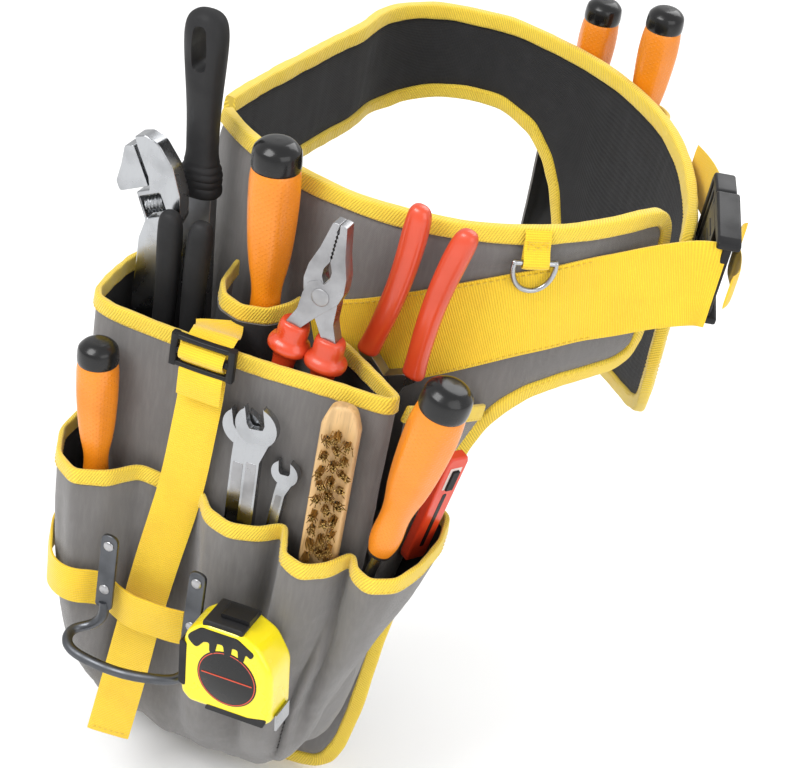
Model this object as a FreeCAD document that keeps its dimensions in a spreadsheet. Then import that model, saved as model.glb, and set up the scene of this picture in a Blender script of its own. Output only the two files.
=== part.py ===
import FreeCAD, Part

import math
import os

import Sketcher
from FreeCAD import Placement, Rotation, Vector

# A waist tool belt with a holster and its tools. Millimetres, Z up, the wearer's waist centre at
# the origin, the holster in front (-Y).

SIZES = (
    # belt
    ("front_arc_x", -22, "centre of the front pad's arc"),
    ("front_arc_y", 14, ""),
    ("front_arc_radius", 170, ""),
    ("front_arc_first", -19.5, "degrees, right end of the front pad"),
    ("front_arc_last", -135, "degrees, left corner of the front pad"),
    ("pad_thickness", 9, "outer cloth, foam and lining together"),
    ("layer_gap", 0.3, "clearance between cloth layers"),
    ("binding_width", 11, "bound edge, seen from the front"),
    ("binding_thickness", 11, "bound edge, through the pad"),
    ("cloth_thickness", 2.5, "pocket cloth"),
    ("rim_thickness", 5, "bound pocket rim"),
    ("webbing_thickness", 1.8, ""),
    ("waist_webbing_width", 60, ""),
    ("strap_width", 29, ""),
    ("back_face_radius", 175.2, "face of the pad that the pouch is sewn to"),
    # hardware
    ("buckle_length", 30, "socket half along the webbing"),
    ("buckle_width", 68, "socket half across the webbing"),
    ("buckle_depth", 15, ""),
    ("buckle_wall", 2.6, ""),
    ("ring_wire", 1.7, "radius of the D-ring's wire"),
    ("ring_width", 26, ""),
    ("ring_drop", 19, ""),
    ("loop_wire", 3.4, "radius of the hammer loop's rod"),
    ("rivet_radius", 3.6, ""),
    # tools
    ("driver_radius", 13.5, "screwdriver handle"),
    ("driver_handle", 112, ""),
    ("driver_blade_radius", 3.5, ""),
    ("big_driver_radius", 16, "long screwdriver handle"),
    ("big_driver_handle", 135, ""),
    ("pliers_thickness", 10, ""),
    ("pliers_pivot_radius", 11, ""),
    ("grip_radius", 7, "dipped pliers grip"),
    ("grip_length", 108, ""),
    ("guard_radius", 9.5, "collar at the top of a guarded grip"),
    ("wrench_thickness", 12, ""),
    ("wrench_handle", 120, ""),
    ("worm_radius", 6, ""),
    ("worm_length", 13, ""),
    ("bar_grip_length", 122, ""),
    ("bar_grip_radius", 13, ""),
    ("bar_shank_length", 210, ""),
    ("spanner_thickness", 5, ""),
    ("brush_length", 135, ""),
    ("brush_width", 24, ""),
    ("brush_thickness", 9, ""),
    ("bristle_length", 10, ""),
    ("knife_length", 88, ""),
    ("knife_width", 16.5, ""),
    ("knife_thickness", 8, ""),
    ("tape_width", 63, ""),
    ("tape_height", 64, ""),
    ("tape_depth", 30, ""),
    ("tape_corner", 16, ""),
)

DOC = FreeCAD.newDocument("tool_belt")
SHEET = DOC.addObject("Spreadsheet::Sheet", "sizes")
PIECES = []
RIMS = []


def fill_sheet():
    for row, (alias, value, note) in enumerate(SIZES, start=1):
        SHEET.set(f"A{row}", alias)
        SHEET.set(f"B{row}", str(value))
        SHEET.set(f"C{row}", note)
        SHEET.setAlias(f"B{row}", alias)
    DOC.recompute()


def size(alias):
    return float(SHEET.get(alias))


def bind(item, **expressions):
    for prop, expression in expressions.items():
        item.setExpression(prop, expression.replace("$", "sizes."))
    return item


def keep(item, label, place=None):
    """Names a finished piece and puts it in the belt."""
    item.Label = label
    if place is not None:
        item.Placement = place
    PIECES.append(item)
    return item


def keep_shape(shape, label):
    item = DOC.addObject("Part::Feature", label)
    item.Shape = shape
    return keep(item, label)


# ---------------------------------------------------------------- curves and sheets of cloth


def spline(points):
    curve = Part.BSplineCurve()
    curve.interpolate([Vector(*point) for point in points])
    return curve


def arc_points(x, y, radius, first, last, count):
    angles = [math.radians(first + (last - first) * i / (count - 1)) for i in range(count)]
    return [(x + radius * math.cos(a), y + radius * math.sin(a)) for a in angles]


def between(value, first, last):
    return first + (last - first) * value


def reading(points, value, pick=None):
    """Height of a line of (distance, height) points, the highest or lowest where it doubles."""
    found = []
    for (a, low), (b, high) in zip(points, points[1:]):
        if min(a, b) <= value <= max(a, b) and a != b:
            found.append(between((value - a) / (b - a), low, high))
    if not found:
        return points[0][1] if value < points[0][0] else points[-1][1]
    return (pick or max)(found)


def shifted(points, distance):
    """A flat line moved sideways, to its left, by a distance."""
    moved = []
    for i, (x, y) in enumerate(points):
        ax, ay = points[max(i - 1, 0)]
        bx, by = points[min(i + 1, len(points) - 1)]
        run = math.hypot(bx - ax, by - ay)
        moved.append((x - (by - ay) / run * distance, y + (bx - ax) / run * distance))
    return moved


class Course:
    """A level path that cloth follows, clockwise seen from above, so its left is outward."""

    def __init__(self, points):
        self.curve = spline([(x, y, 0) for x, y in points])
        self.length = self.curve.length()

    def place(self, distance, outward=0.0, height=0.0):
        inside = min(max(distance, 0.0), self.length)
        at = self.curve.parameterAtDistance(inside, self.curve.FirstParameter)
        point = self.curve.value(at)
        along = self.curve.tangent(at)[0]
        point += along * (distance - inside)
        return Vector(point.x - along.y * outward, point.y + along.x * outward, height)


def loft(wires, straight=True):
    solid = Part.makeLoft(wires, True, straight)
    if solid.Volume < 0:
        solid.reverse()
    return solid


def polygon(corners):
    return Part.makePolygon(list(corners) + [corners[0]])


def standing_strip(course, stations, low, high, inner, outer):
    """Cloth that stands along a course between two height functions."""
    wires = []
    for at in stations:
        corners = [(inner, low(at)), (outer, low(at)), (outer, high(at)), (inner, high(at))]
        wires.append(polygon([course.place(at, out, height) for out, height in corners]))
    return loft(wires)


def fine(line, step):
    """The same line with no span longer than a step."""
    points = [line[0]]
    for a, b in zip(line, line[1:]):
        count = max(1, math.ceil(math.dist(a, b) / step))
        points += [tuple(between(i / count, p, q) for p, q in zip(a, b)) for i in range(1, count + 1)]
    return points


def ribbon_on(course, line, width, inner, outer):
    """A tape that lies on a course, its middle along a line of (distance, height) points."""
    one_side = shifted(line, width / 2)
    other_side = shifted(line, -width / 2)
    wires = []
    for i, (a, b) in enumerate(zip(one_side, other_side)):
        if i in (0, len(line) - 1):
            a, b = (line[i][0], a[1]), (line[i][0], b[1])
        corners = [(a, inner), (a, outer), (b, outer), (b, inner)]
        wires.append(polygon([course.place(at, out, height) for (at, height), out in corners]))
    return loft(wires)


def tape(points, across, width, thickness):
    """A tape through points in space, its width along one direction."""
    points = [Vector(*point) for point in points]
    across = Vector(*across).normalize()
    wires = []
    for i, point in enumerate(points):
        along = points[min(i + 1, len(points) - 1)] - points[max(i - 1, 0)]
        side = (across - along * (across.dot(along) / along.dot(along))).normalize() * (width / 2)
        up = along.cross(side).normalize() * (thickness / 2)
        wires.append(polygon([point + side + up, point - side + up, point - side - up, point + side - up]))
    return loft(wires)


def rim_bar(points, height, thickness):
    """A bound rim: an upright bar along points in space."""
    wires = []
    flat = [(x, y) for x, y, z in points]
    for (ax, ay), (bx, by), point in zip(shifted(flat, thickness / 2), shifted(flat, -thickness / 2),
                                         points):
        low = point[2] - height
        wires.append(
            polygon([Vector(ax, ay, low), Vector(bx, by, low), Vector(bx, by, point[2]),
                     Vector(ax, ay, point[2])])
        )
    return loft(wires)


def thick_line_wire(points, thickness, height):
    """Closed outline of a thick flat line, from its outer side to its inner side."""
    level = height if callable(height) else lambda x, y: height
    outside = [Vector(x, y, level(x, y)) for x, y in points]
    inside = [Vector(x, y, level(x, y)) for x, y in shifted(points, -thickness)]
    return polygon(outside + inside[::-1])


# ---------------------------------------------------------------- belt pads


def front_course():
    x, y, radius = size("front_arc_x"), size("front_arc_y"), size("front_arc_radius")
    return Course(arc_points(x, y, radius, size("front_arc_first"), size("front_arc_last"), 15))


def back_course():
    left = [(-148, -92), (-147, -70), (-143, -30), (-138, 10), (-133, 45), (-129, 70)]
    corner = arc_points(-67, 91, 62, 170, 95, 5)
    back = arc_points(-66, -60, 217, 86, 7, 11)
    return Course(left + corner + back)


FRONT_UPPER = ((0, 0), (0, 30), (1, 45), (6, 55), (15, 61), (30, 62), (60, 60), (100, 57), (150, 55),
               (200, 54),
               (250, 54), (300, 55), (342, 54))
FRONT_LOWER = ((0, 0), (0, -26), (3, -40), (10, -50), (25, -55), (45, -56), (65, -59), (85, -66), (98, -76),
               (108, -89), (116, -106), (124, -136), (130, -170), (137, -212), (144, -273), (150, -340),
               (156, -374), (163, -391), (173, -399), (186, -401), (250, -402), (342, -402))
LINING_LOWER = ((0, 0), (0, -26), (3, -40), (10, -50), (25, -55), (45, -56), (65, -58), (100, -60),
                (342, -58))
BACK_UPPER = ((598, -20), (598, 5), (595, 20), (586, 31), (570, 36), (540, 40), (510, 46), (470, 52),
              (400, 56),
              (300, 58), (200, 57), (100, 55), (0, 54))
BACK_LOWER = ((598, -20), (597, -60), (590, -84), (578, -104), (560, -122), (530, -138), (500, -148),
              (470, -154), (440, -155), (415, -150), (395, -136), (380, -108), (371, -80), (362, -56),
              (350, -36), (332, -20), (305, -12), (277, -12), (251, -16), (211, -24), (141, -26),
              (72, -28), (0, -34))


def pad(course, upper, lower, stations, inward, inner, outer):
    """One padded layer, held back from the bound edge."""
    back = size("binding_width") + size("layer_gap")
    high_line = shifted(upper, back * inward)
    low_line = shifted(lower, -back * inward)

    def high(at):
        return reading(high_line, at, max)

    def low(at):
        return reading(low_line, at, min)

    return standing_strip(course, stations, low, high, inner, outer)


def bound_edge(course, upper, lower, inward):
    """The binding round one pad, in one length from its top to its bottom line."""
    outline = list(upper[::-1]) + list(lower[1:])
    width = size("binding_width")
    half = size("binding_thickness") / 2
    middle = fine(shifted(outline, width / 2 * inward), 16)
    return ribbon_on(course, middle, width, -half, half)


def stations(first, last, count):
    return [between(i / (count - 1), first, last) for i in range(count)]


def belt_pads():
    half = size("pad_thickness") / 2
    gap = size("layer_gap") / 2
    edge = size("binding_width") + size("layer_gap")
    front = front_course()
    spots = [edge, edge + 4, edge + 10] + stations(edge + 20, 95, 5) + stations(103, 190, 13)
    spots += stations(205, 338, 8)
    panel = pad(front, FRONT_UPPER, FRONT_LOWER, spots, -1, gap, half)
    keep_shape(panel, "front_panel")
    spots = [edge, edge + 4, edge + 10] + stations(edge + 20, 338, 16)
    lining = pad(front, FRONT_UPPER, LINING_LOWER, spots, -1, -half, -gap)
    keep_shape(lining, "front_lining")
    everything = bound_edge(front, FRONT_UPPER, FRONT_LOWER, 1)
    keep_shape(everything, "front_binding")
    back = back_course()
    end = 598 - edge
    spots = [end, end - 4, end - 10, end - 18] + stations(end - 30, 345, 15) + stations(330, 4, 20)
    keep_shape(pad(back, BACK_UPPER, BACK_LOWER, spots, 1, gap, half), "back_pad")
    keep_shape(pad(back, BACK_UPPER, BACK_LOWER, spots, 1, -half, -gap), "back_lining")
    everything = bound_edge(back, BACK_UPPER, BACK_LOWER, -1)
    keep_shape(everything, "back_binding")


# ---------------------------------------------------------------- pouch and pockets

# plan of the pouch wall at its rim, from its right end round the front to its left end
POUCH_PLAN = ((-34, -163), (-20, -170.5), (2, -184.5), (24, -199.5), (37, -209), (42, -214), (39, -220),
              (28, -222),
              (-5, -223), (-40, -224), (-80, -224), (-120, -222), (-150, -219), (-164, -214), (-170, -205),
              (-173, -185), (-174, -160), (-169, -138), (-158, -122), (-147, -114))
POCKET_PLAN = ((60, -151), (74, -160), (80, -185), (79, -215), (73, -236), (58, -246), (45, -240),
               (38, -227.8),
               (31, -246), (18, -258), (2, -253), (-9, -228.5), (-20, -241), (-38, -248), (-57, -242),
               (-68, -228.8), (-92, -229), (-114, -228.8), (-126, -247), (-146, -257), (-165, -246),
               (-178, -222), (-179, -195), (-178.5, -172))
# height, and how far the pouch is drawn in there to its left, to its right and in depth
POUCH_LEVELS = ((-40, 1.0, 1.0, 1.0), (-120, 0.985, 1.0, 1.04), (-200, 0.955, 0.955, 1.04),
                (-280, 0.91, 0.86, 1.0),
                (-340, 0.84, 0.70, 0.9), (-372, 0.76, 0.54, 0.72), (-382, 0.7, 0.46, 0.58))
POUCH_MIDDLE = -70
POUCH_BACK = -150


def rim_height(x, y=0):
    """The pouch's rim rises to the right."""
    return -42 + (x + 160) * 0.05


def back_face(x, outward=0.0):
    radius = size("back_face_radius") + outward
    run = x - size("front_arc_x")
    if abs(run) >= radius:
        return size("front_arc_y")
    return size("front_arc_y") - math.sqrt(radius**2 - run**2)


def scales(height):
    """How far the pouch is drawn in to its left, to its right and in depth at a height."""
    return [reading([(level[0], level[k]) for level in POUCH_LEVELS], height) for k in (1, 2, 3)]


def pouch_line(plan, height, outward=0.0):
    """A plan drawn in to the pouch's taper at a height, and kept off the panel behind."""
    left, right, depth = scales(height)
    line = []
    for x, y in plan:
        x = POUCH_MIDDLE + (x - POUCH_MIDDLE) * (left if x < POUCH_MIDDLE else right)
        y = POUCH_BACK + (y - POUCH_BACK) * depth
        line.append((x, min(y, back_face(x, outward) - 0.6)))
    return line


def pouch_wire(height, level):
    line = pouch_line(POUCH_PLAN, height)
    line[0] = (line[0][0], back_face(line[0][0]))
    line[-1] = (line[-1][0], back_face(line[-1][0]))
    wall = [Vector(x, y, level(x, y)) for x, y in line]
    back = [(x, back_face(x)) for x in stations(line[-1][0], line[0][0], 10)[1:-1]]
    return polygon(wall + [Vector(x, y, level(x, y)) for x, y in back])


def pouch_hollow(height, level):
    wall = size("cloth_thickness")
    line = pouch_line(POUCH_PLAN, height)
    back = [(x, back_face(x)) for x in stations(line[-1][0] + 6, line[0][0] - 8, 8)]
    ring = shifted(line, -wall)[2:-1] + [(x, y - wall) for x, y in back]
    return polygon([Vector(x, y, level(x, y)) for x, y in ring])


def flat(height):
    return lambda x, y: height


def main_pouch():
    under = size("binding_width") + size("layer_gap")
    heights = [level[0] for level in POUCH_LEVELS]
    outer = [pouch_wire(heights[0], lambda x, y: rim_height(x) - under)]
    inner = [pouch_hollow(heights[0], lambda x, y: rim_height(x) + 4)]
    outer += [pouch_wire(height, flat(height)) for height in heights[1:]]
    inner += [pouch_hollow(height, flat(height)) for height in heights[1:-1]]
    keep_shape(loft(outer).cut(loft(inner)), "main_pouch")
    line = shifted(pouch_line(POUCH_PLAN, -40), -size("cloth_thickness") / 2)[1:-1]
    rim = [(x, y, rim_height(x)) for x, y in line]
    keep_shape(rim_bar(rim, size("binding_width"), size("rim_thickness")), "main_pouch_binding")


SHEET_LEVELS = ((-151.3, 1.0), (-200, 0.97), (-250, 0.92), (-300, 0.75), (-335, 0.4), (-356, 0.06))


def pocket_line(height, swell):
    """The outer pockets' outline: their swell dies away towards the bottom."""
    wall = Course(pouch_line(POUCH_PLAN, height))
    scaled = pouch_line(POCKET_PLAN, height, 4)
    out = size("cloth_thickness") + 0.6
    line = []
    for x, y in scaled:
        near = wall.curve.parameter(Vector(x, y, 0))
        at = wall.curve.length(wall.curve.FirstParameter, near)
        base = wall.place(at, out)
        line.append((between(swell, base.x, x), between(swell, base.y, y)))
    return line


def outer_pockets():
    thick = size("cloth_thickness") - 0.5
    wires = [thick_line_wire(pocket_line(height, swell), thick, height) for height, swell in SHEET_LEVELS]
    keep_shape(loft(wires), "outer_pockets")
    top = SHEET_LEVELS[0][0] + size("layer_gap") + size("binding_width")
    line = shifted(pocket_line(SHEET_LEVELS[0][0], 1.0), -thick / 2)
    RIMS.append(rim_bar([(x, y, top) for x, y in line], size("binding_width"), 4))


def inner_pocket():
    """A pocket on the panel, inside the pouch, for the long screwdriver."""
    plan = ((-49, -165.5), (-51, -177), (-59, -190.5), (-75, -197), (-90, -192), (-98, -179), (-102, -152))
    thick = size("cloth_thickness") - 0.5
    top = -34
    wires = []
    for height, swell in ((top, 1.0), (-90, 1.0), (-150, 0.94), (-182, 0.6), (-200, 0.15)):
        line = [(x, between(swell, back_face(x) - 5.2, y)) for x, y in plan]
        wires.append(thick_line_wire(line, thick, height))
    keep_shape(loft(wires), "inner_pocket")
    line = shifted(plan, -thick / 2)
    rise = top + size("layer_gap") + size("binding_width")
    RIMS.append(rim_bar([(x, y, rise) for x, y in line], size("binding_width"), 4))


def side_line(height):
    """The pouch's right wall, from the panel's right edge to the pouch's front corner."""
    edge = ((-60, 72), (-110, 60), (-160, 48), (-220, 40), (-280, 33), (-330, 26), (-350, 21))
    back_x = reading(edge, height)
    left, right, depth = scales(height)
    front_x = POUCH_MIDDLE + (46 - POUCH_MIDDLE) * right
    front_y = POUCH_BACK + (-208 - POUCH_BACK) * depth
    back_y = back_face(back_x) - 4
    line = []
    for part, swell in ((0, 0), (0.3, 4), (0.6, 5), (0.85, 2.5), (1, 0)):
        line.append((between(part, back_x, front_x) + swell, between(part, back_y, front_y)))
    return line


def side_pocket():
    thick = size("cloth_thickness") - 0.5

    def rim(x, y):
        return between((y + 135) / (-211 + 135), -69, -40)

    under = size("binding_width") + size("layer_gap")
    wires = [thick_line_wire(side_line(-60), thick, lambda x, y: rim(x, y) - under)]
    for height in (-110, -160, -220, -280, -330, -350):
        wires.append(thick_line_wire(side_line(height), thick, height))
    keep_shape(loft(wires), "side_pocket")
    line = shifted(side_line(-60), -thick / 2)
    RIMS.append(rim_bar([(x, y, rim(x, y)) for x, y in line], size("binding_width"), 4))


def pocket_bands():
    """The elastic band round the left pocket and the wide loop over the closure strap."""
    plan = ((-58, -252.5), (-72, -255), (-92, -256.5), (-108, -254), (-122, -252), (-132, -257.5),
            (-146, -261),
            (-163, -253), (-173, -238), (-182.5, -221), (-183, -196))
    line = pouch_line(plan, -215)
    keep_shape(loft([thick_line_wire(line, 1.6, height) for height in (-243, -229, -215)]), "pocket_band")


def rear_holster():
    course = back_course()
    plan = ((338, 6.4), (339, 21), (346, 34), (358, 38), (371, 34), (383.5, 22), (396, 34), (409, 38),
            (421, 34),
            (429, 21), (430, 6.4))
    wall = size("cloth_thickness")
    outer, inner = [], []
    for height, swell in ((20, 1.0), (-40, 0.97), (-85, 0.75), (-105, 0.35)):
        front = [course.place(at, between(swell, 6.4, out), height) for at, out in plan]
        rear = [course.place(at, 6.4, height) for at in stations(430, 338, 7)]
        outer.append(Part.Wire([spline(front).toShape(), spline(rear).toShape()]))
        lift = {20: 8, -105: 4}.get(height, 0)
        front = [course.place(between(0.04, at, 384), between(swell, 6.4, out) - wall, height + lift)
                 for at, out in plan[1:-1]]
        rear = [course.place(at, 6.4 + wall * 0.6, height + lift) for at in stations(425, 343, 6)]
        curve = Part.BSplineCurve()
        curve.interpolate(front + rear, True)
        inner.append(Part.Wire([curve.toShape()]))
    keep_shape(loft(outer, straight=False).cut(loft(inner, straight=False)), "rear_holster")
    line = [course.place(at, out - wall / 2, 0) for at, out in plan[1:-1]]
    rise = 20 + size("layer_gap") + size("binding_width")
    rim = [(point.x, point.y, rise) for point in line[::-1]]
    RIMS.append(rim_bar(rim, size("binding_width"), 4))


# ---------------------------------------------------------------- webbing and hardware


def waist_webbing():
    """Webbing sewn to the front pad; its right end leaves the pad for the buckle."""
    x, y = size("front_arc_x"), size("front_arc_y")
    radius = size("back_face_radius") + 1.2
    plan = [(180, -63), (172, -66), (160, -71), (145, -79), (128, -90), (113, -101)]
    plan += arc_points(x, y, radius, -46, -92, 10)
    course = Course(plan)
    line = [(0, 26), (9, 26), (23, 23), (41, 18), (62, 12), (81, 8), (100, 4), (125, -2), (150, -11),
            (175, -22),
            (200, -34), (225, -45), (245, -52)]
    half = size("webbing_thickness") / 2
    shape = ribbon_on(course, fine(line, 12), size("waist_webbing_width"), -half, half)
    keep_shape(shape, "waist_webbing")


BUCKLE = Placement(Vector(162, -14, 36), Rotation(Vector(0, 0, 1), 110) * Rotation(Vector(0, 1, 0), -11))


def box(name, at, **expressions):
    item = bind(DOC.addObject("Part::Box", name), **expressions)
    item.Placement = Placement(Vector(*at), Rotation())
    return item


def buckle():
    """A side-release buckle: the socket holds the front webbing, the plug slides out of it."""
    length, width, depth = size("buckle_length"), size("buckle_width"), size("buckle_depth")
    wall = size("buckle_wall")
    shell = box("socket_shell", (-length, -depth / 2, -width / 2), Length="$buckle_length",
                Width="$buckle_depth",
                Height="$buckle_width")
    room = box("socket_room", (-length + 8, -depth / 2 + wall, -width / 2 + 9), Length="$buckle_length",
               Width="$buckle_depth - 2 * $buckle_wall", Height="$buckle_width - 18")
    side = box("socket_window", (-length + 12, -depth / 2 + wall, -width / 2 - 1),
               Length="$buckle_length - 18",
               Width="$buckle_depth - 2 * $buckle_wall", Height="$buckle_width + 2")
    cavity = DOC.addObject("Part::MultiFuse", "socket_cavity")
    cavity.Shapes = [room, side]
    hollow = DOC.addObject("Part::Cut", "socket_hollow")
    hollow.Base = shell
    hollow.Tool = cavity
    bars = []
    for i, at in enumerate((-length - 21, -length - 11)):
        bar = box(f"socket_bar_{i}", (at, -3, -width / 2 + 4), Length="5", Width="6",
                  Height="$buckle_width - 8")
        bars.append(bar)
    for i, at in enumerate((-width / 2, width / 2 - 5)):
        rail = box(f"socket_rail_{i}", (-length - 22, -4, at), Length="23", Width="8", Height="5")
        bars.append(rail)
    frame = DOC.addObject("Part::MultiFuse", "waist_buckle_socket")
    frame.Shapes = [hollow] + bars
    keep(frame, "waist_buckle_socket", BUCKLE)
    plug()


def plug():
    depth, width, wall = size("buckle_depth"), size("buckle_width"), size("buckle_wall")
    inside = depth - 2 * wall - 0.8
    plate = box("plug_plate", (0.6, -depth / 2, -width / 2 + 3), Length="28", Width="$buckle_depth",
                Height="$buckle_width - 6")
    slots = []
    for i, at in enumerate((7, 17)):
        slot = box(f"plug_slot_{i}", (at, -depth, -width / 2 + 8), Length="6", Width="2 * $buckle_depth",
                   Height="$buckle_width - 16")
        slots.append(slot)
    prongs = [box("plug_guide", (-19, -inside / 2, -5), Length="20.5", Width="$buckle_depth - 6",
                  Height="10")]
    prongs += [
        box(f"plug_prong_{i}", (-20, -inside / 2, at), Length="21.5", Width="$buckle_depth - 6", Height="6")
        for i, at in enumerate((-width / 2 + 12, width / 2 - 18))
    ]
    solid = DOC.addObject("Part::MultiFuse", "plug_solid")
    solid.Shapes = [plate] + prongs
    holes = DOC.addObject("Part::MultiFuse", "plug_slots")
    holes.Shapes = slots
    piece = DOC.addObject("Part::Cut", "waist_buckle_plug")
    piece.Base = solid
    piece.Tool = holes
    keep(piece, "waist_buckle_plug", BUCKLE)
    start = BUCKLE.multVec(Vector(29.5, -1, 0))
    points = [tuple(start), (147, 28, 42), (134.5, 48, 42), (122.5, 63, 41)]
    keep_shape(tape(points, (0.1, 0, 1), 50, 1.6), "plug_webbing")


def d_ring():
    """A ring that hangs from a webbing tab on the front pad's top edge."""
    course = front_course()
    at = 104
    out = size("binding_thickness") / 2
    wire, width, drop = size("ring_wire"), size("ring_width"), size("ring_drop")
    centre = course.place(at, out + 5.2, 38)
    along = (course.place(at - 1) - course.place(at + 1)).normalize()
    outward = Vector(0, 0, 1).cross(along) * -1
    place = Placement(centre, Rotation(along, outward * -1, Vector(0, 0, 1), "XYZ"))
    straight = Part.makeLine(Vector(width / 2, 0, 0), Vector(-width / 2, 0, 0))
    bow = spline([(-width / 2, 0, 0), (-width / 2 + 0.5, 0, -drop * 0.45), (-width / 4, 0, -drop * 0.9),
                  (0, 0, -drop),
                  (width / 4, 0, -drop * 0.9), (width / 2 - 0.5, 0, -drop * 0.45),
                  (width / 2, 0, 0)]).toShape()
    ends = [Part.makeSphere(1.15 * wire, Vector(x, 0, 0)) for x in (-width / 2, width / 2)]
    profile = Part.Wire(Part.makeCircle(wire, Vector(-width / 2, 0, 0), Vector(0, 0, 1)))
    ring = Part.Wire(bow).makePipeShell([profile], True, False)
    bar = Part.makeCylinder(wire, width, Vector(-width / 2, 0, 0), Vector(1, 0, 0))
    shape = ring.fuse([bar] + ends).removeSplitter()
    item = DOC.addObject("Part::Feature", "d_ring")
    item.Shape = shape
    keep(item, "d_ring", place)
    tab = Part.makeCylinder(wire + 2.2, 16, Vector(-8, 0, 0), Vector(1, 0, 0))
    tab = tab.cut(Part.makeCylinder(wire + 0.5, 18, Vector(-9, 0, 0), Vector(1, 0, 0)))
    tongue = Part.makeBox(16, 1.6, 20, Vector(-8, wire + 0.6, 0.2))
    tab = tab.fuse(tongue).removeSplitter()
    item = DOC.addObject("Part::Feature", "d_ring_tab")
    item.Shape = tab
    keep(item, "d_ring_tab", place)


def closure():
    """The strap over the pouch's mouth, with its buckle on the rim."""
    width = size("strap_width")
    points = [(-86, -203, -37), (-83, -207.5, -37.5), (-79, -217, -34), (-76, -226, -29),
              (-76, -233.5, -34),
              (-76, -235.5, -50), (-77, -236.5, -90), (-81, -236.5, -140), (-88, -239, -190),
              (-94, -243, -240),
              (-99, -246, -290), (-107, -248, -356)]
    keep_shape(tape(points, (1, 0.1, 0), width, 1.6), "closure_strap")
    place = Placement(Vector(-75, -241, -37), Rotation(Vector(0, 0, 1), 4))
    outer = box("closure_frame", (-21, -3, -11), Length="42", Width="6", Height="22")
    gap_a = box("closure_gap_a", (-16, -5, -7.5), Length="32", Width="10", Height="5")
    gap_b = box("closure_gap_b", (-16, -5, 2), Length="32", Width="10", Height="5")
    gaps = DOC.addObject("Part::MultiFuse", "closure_gaps")
    gaps.Shapes = [gap_a, gap_b]
    piece = DOC.addObject("Part::Cut", "closure_buckle")
    piece.Base = outer
    piece.Tool = gaps
    keep(piece, "closure_buckle", place)


def hammer_loop():
    """One steel rod: two flattened legs riveted to the pouch and a bow that stands out from it."""
    wire = size("loop_wire")
    legs = []
    for x in (-111, -48):
        legs.append(Part.makeBox(12, 3, 60, Vector(x - 6, -267, -234)))
    path = [(-111, -265.5, -232), (-111, -266, -242), (-118, -269, -249), (-126, -276, -252),
            (-123, -287, -253),
            (-105, -293, -254), (-81, -293, -253), (-59, -288, -251), (-45, -277, -249), (-45, -268, -243),
            (-48, -265.5, -232)]
    curve = spline(path)
    start = curve.value(curve.FirstParameter)
    heading = curve.tangent(curve.FirstParameter)[0]
    profile = Part.Wire(Part.makeCircle(wire, start, heading))
    rod = Part.Wire(curve.toShape()).makePipeShell([profile], True, True)
    rivets = []
    radius = size("rivet_radius")
    for x in (-111, -48):
        for z in (-182, -217):
            rivets.append(Part.makeCylinder(radius, 1.7, Vector(x, -266.95, z), Vector(0, -1, 0)))
    keep_shape(rod.fuse(legs + rivets).removeSplitter(), "hammer_loop")


# ---------------------------------------------------------------- tools


def upright(base, lean_x=0.0, lean_y=0.0, turn=0.0):
    """Placement of a tool whose +Z runs up its length; leans are run over rise."""
    axis = Vector(lean_x, lean_y, 1).normalize()
    return Placement(Vector(*base), Rotation(Vector(0, 0, 1), axis) * Rotation(Vector(0, 0, 1), turn))


def new_body(name):
    return DOC.addObject("PartDesign::Body", name)


def plane(body, role):
    return next(item for item in body.Origin.OriginFeatures if item.Role == role)


def outline(body, name, role, points, ties=()):
    """A closed sketch of straight lines; ties bind spans between its corners to the sheet."""
    sketch = body.newObject("Sketcher::SketchObject", name)
    sketch.AttachmentSupport = [(plane(body, role), "")]
    sketch.MapMode = "FlatFace"
    count = len(points)
    for i, (x, y) in enumerate(points):
        nx, ny = points[(i + 1) % count]
        sketch.addGeometry(Part.LineSegment(Vector(x, y, 0), Vector(nx, ny, 0)), False)
    for i in range(count):
        sketch.addConstraint(Sketcher.Constraint("Coincident", i, 2, (i + 1) % count, 1))
    for i, (kind, corner, other, expression) in enumerate(ties):
        span = points[other][0] - points[corner][0] if kind == "DistanceX" else points[other][1] - points[corner][1]
        index = sketch.addConstraint(Sketcher.Constraint(kind, corner, 1, other, 1, span))
        sketch.renameConstraint(index, f"span_{i}")
        sketch.setExpression(f"Constraints.span_{i}", expression.replace("$", "sizes."))
    return sketch


def pad_feature(body, name, sketch, length, middle=True):
    feature = body.newObject("PartDesign::Pad", name)
    feature.Profile = sketch
    feature.Midplane = middle
    bind(feature, Length=length)
    return feature


def turned(name, profile, ties=()):
    """A body turned about its length from a half profile of (radius, height) corners."""
    body = new_body(name)
    sketch = outline(body, f"{name}_profile", "XZ_Plane", profile, ties)
    feature = body.newObject("PartDesign::Revolution", f"{name}_turn")
    feature.Profile = sketch
    feature.ReferenceAxis = (sketch, ["V_Axis"])
    feature.Angle = 360
    return body


def bowed(corners, steps=4):
    """Rounds a half profile with Catmull-Rom steps between its inner corners."""
    rounded = [corners[0]]
    inner = corners[1:-1]
    for i in range(len(inner) - 1):
        a = inner[max(i - 1, 0)]
        b, c = inner[i], inner[i + 1]
        d = inner[min(i + 2, len(inner) - 1)]
        for step in range(steps):
            t = step / steps
            rounded.append(tuple(
                0.5 * (2 * q + (r - p) * t + (2 * p - 5 * q + 4 * r - w) * t**2 + (3 * q - p - 3 * r + w) * t**3)
                for p, q, r, w in zip(a, b, c, d)
            ))
    return rounded + [inner[-1], corners[-1]]


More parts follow.
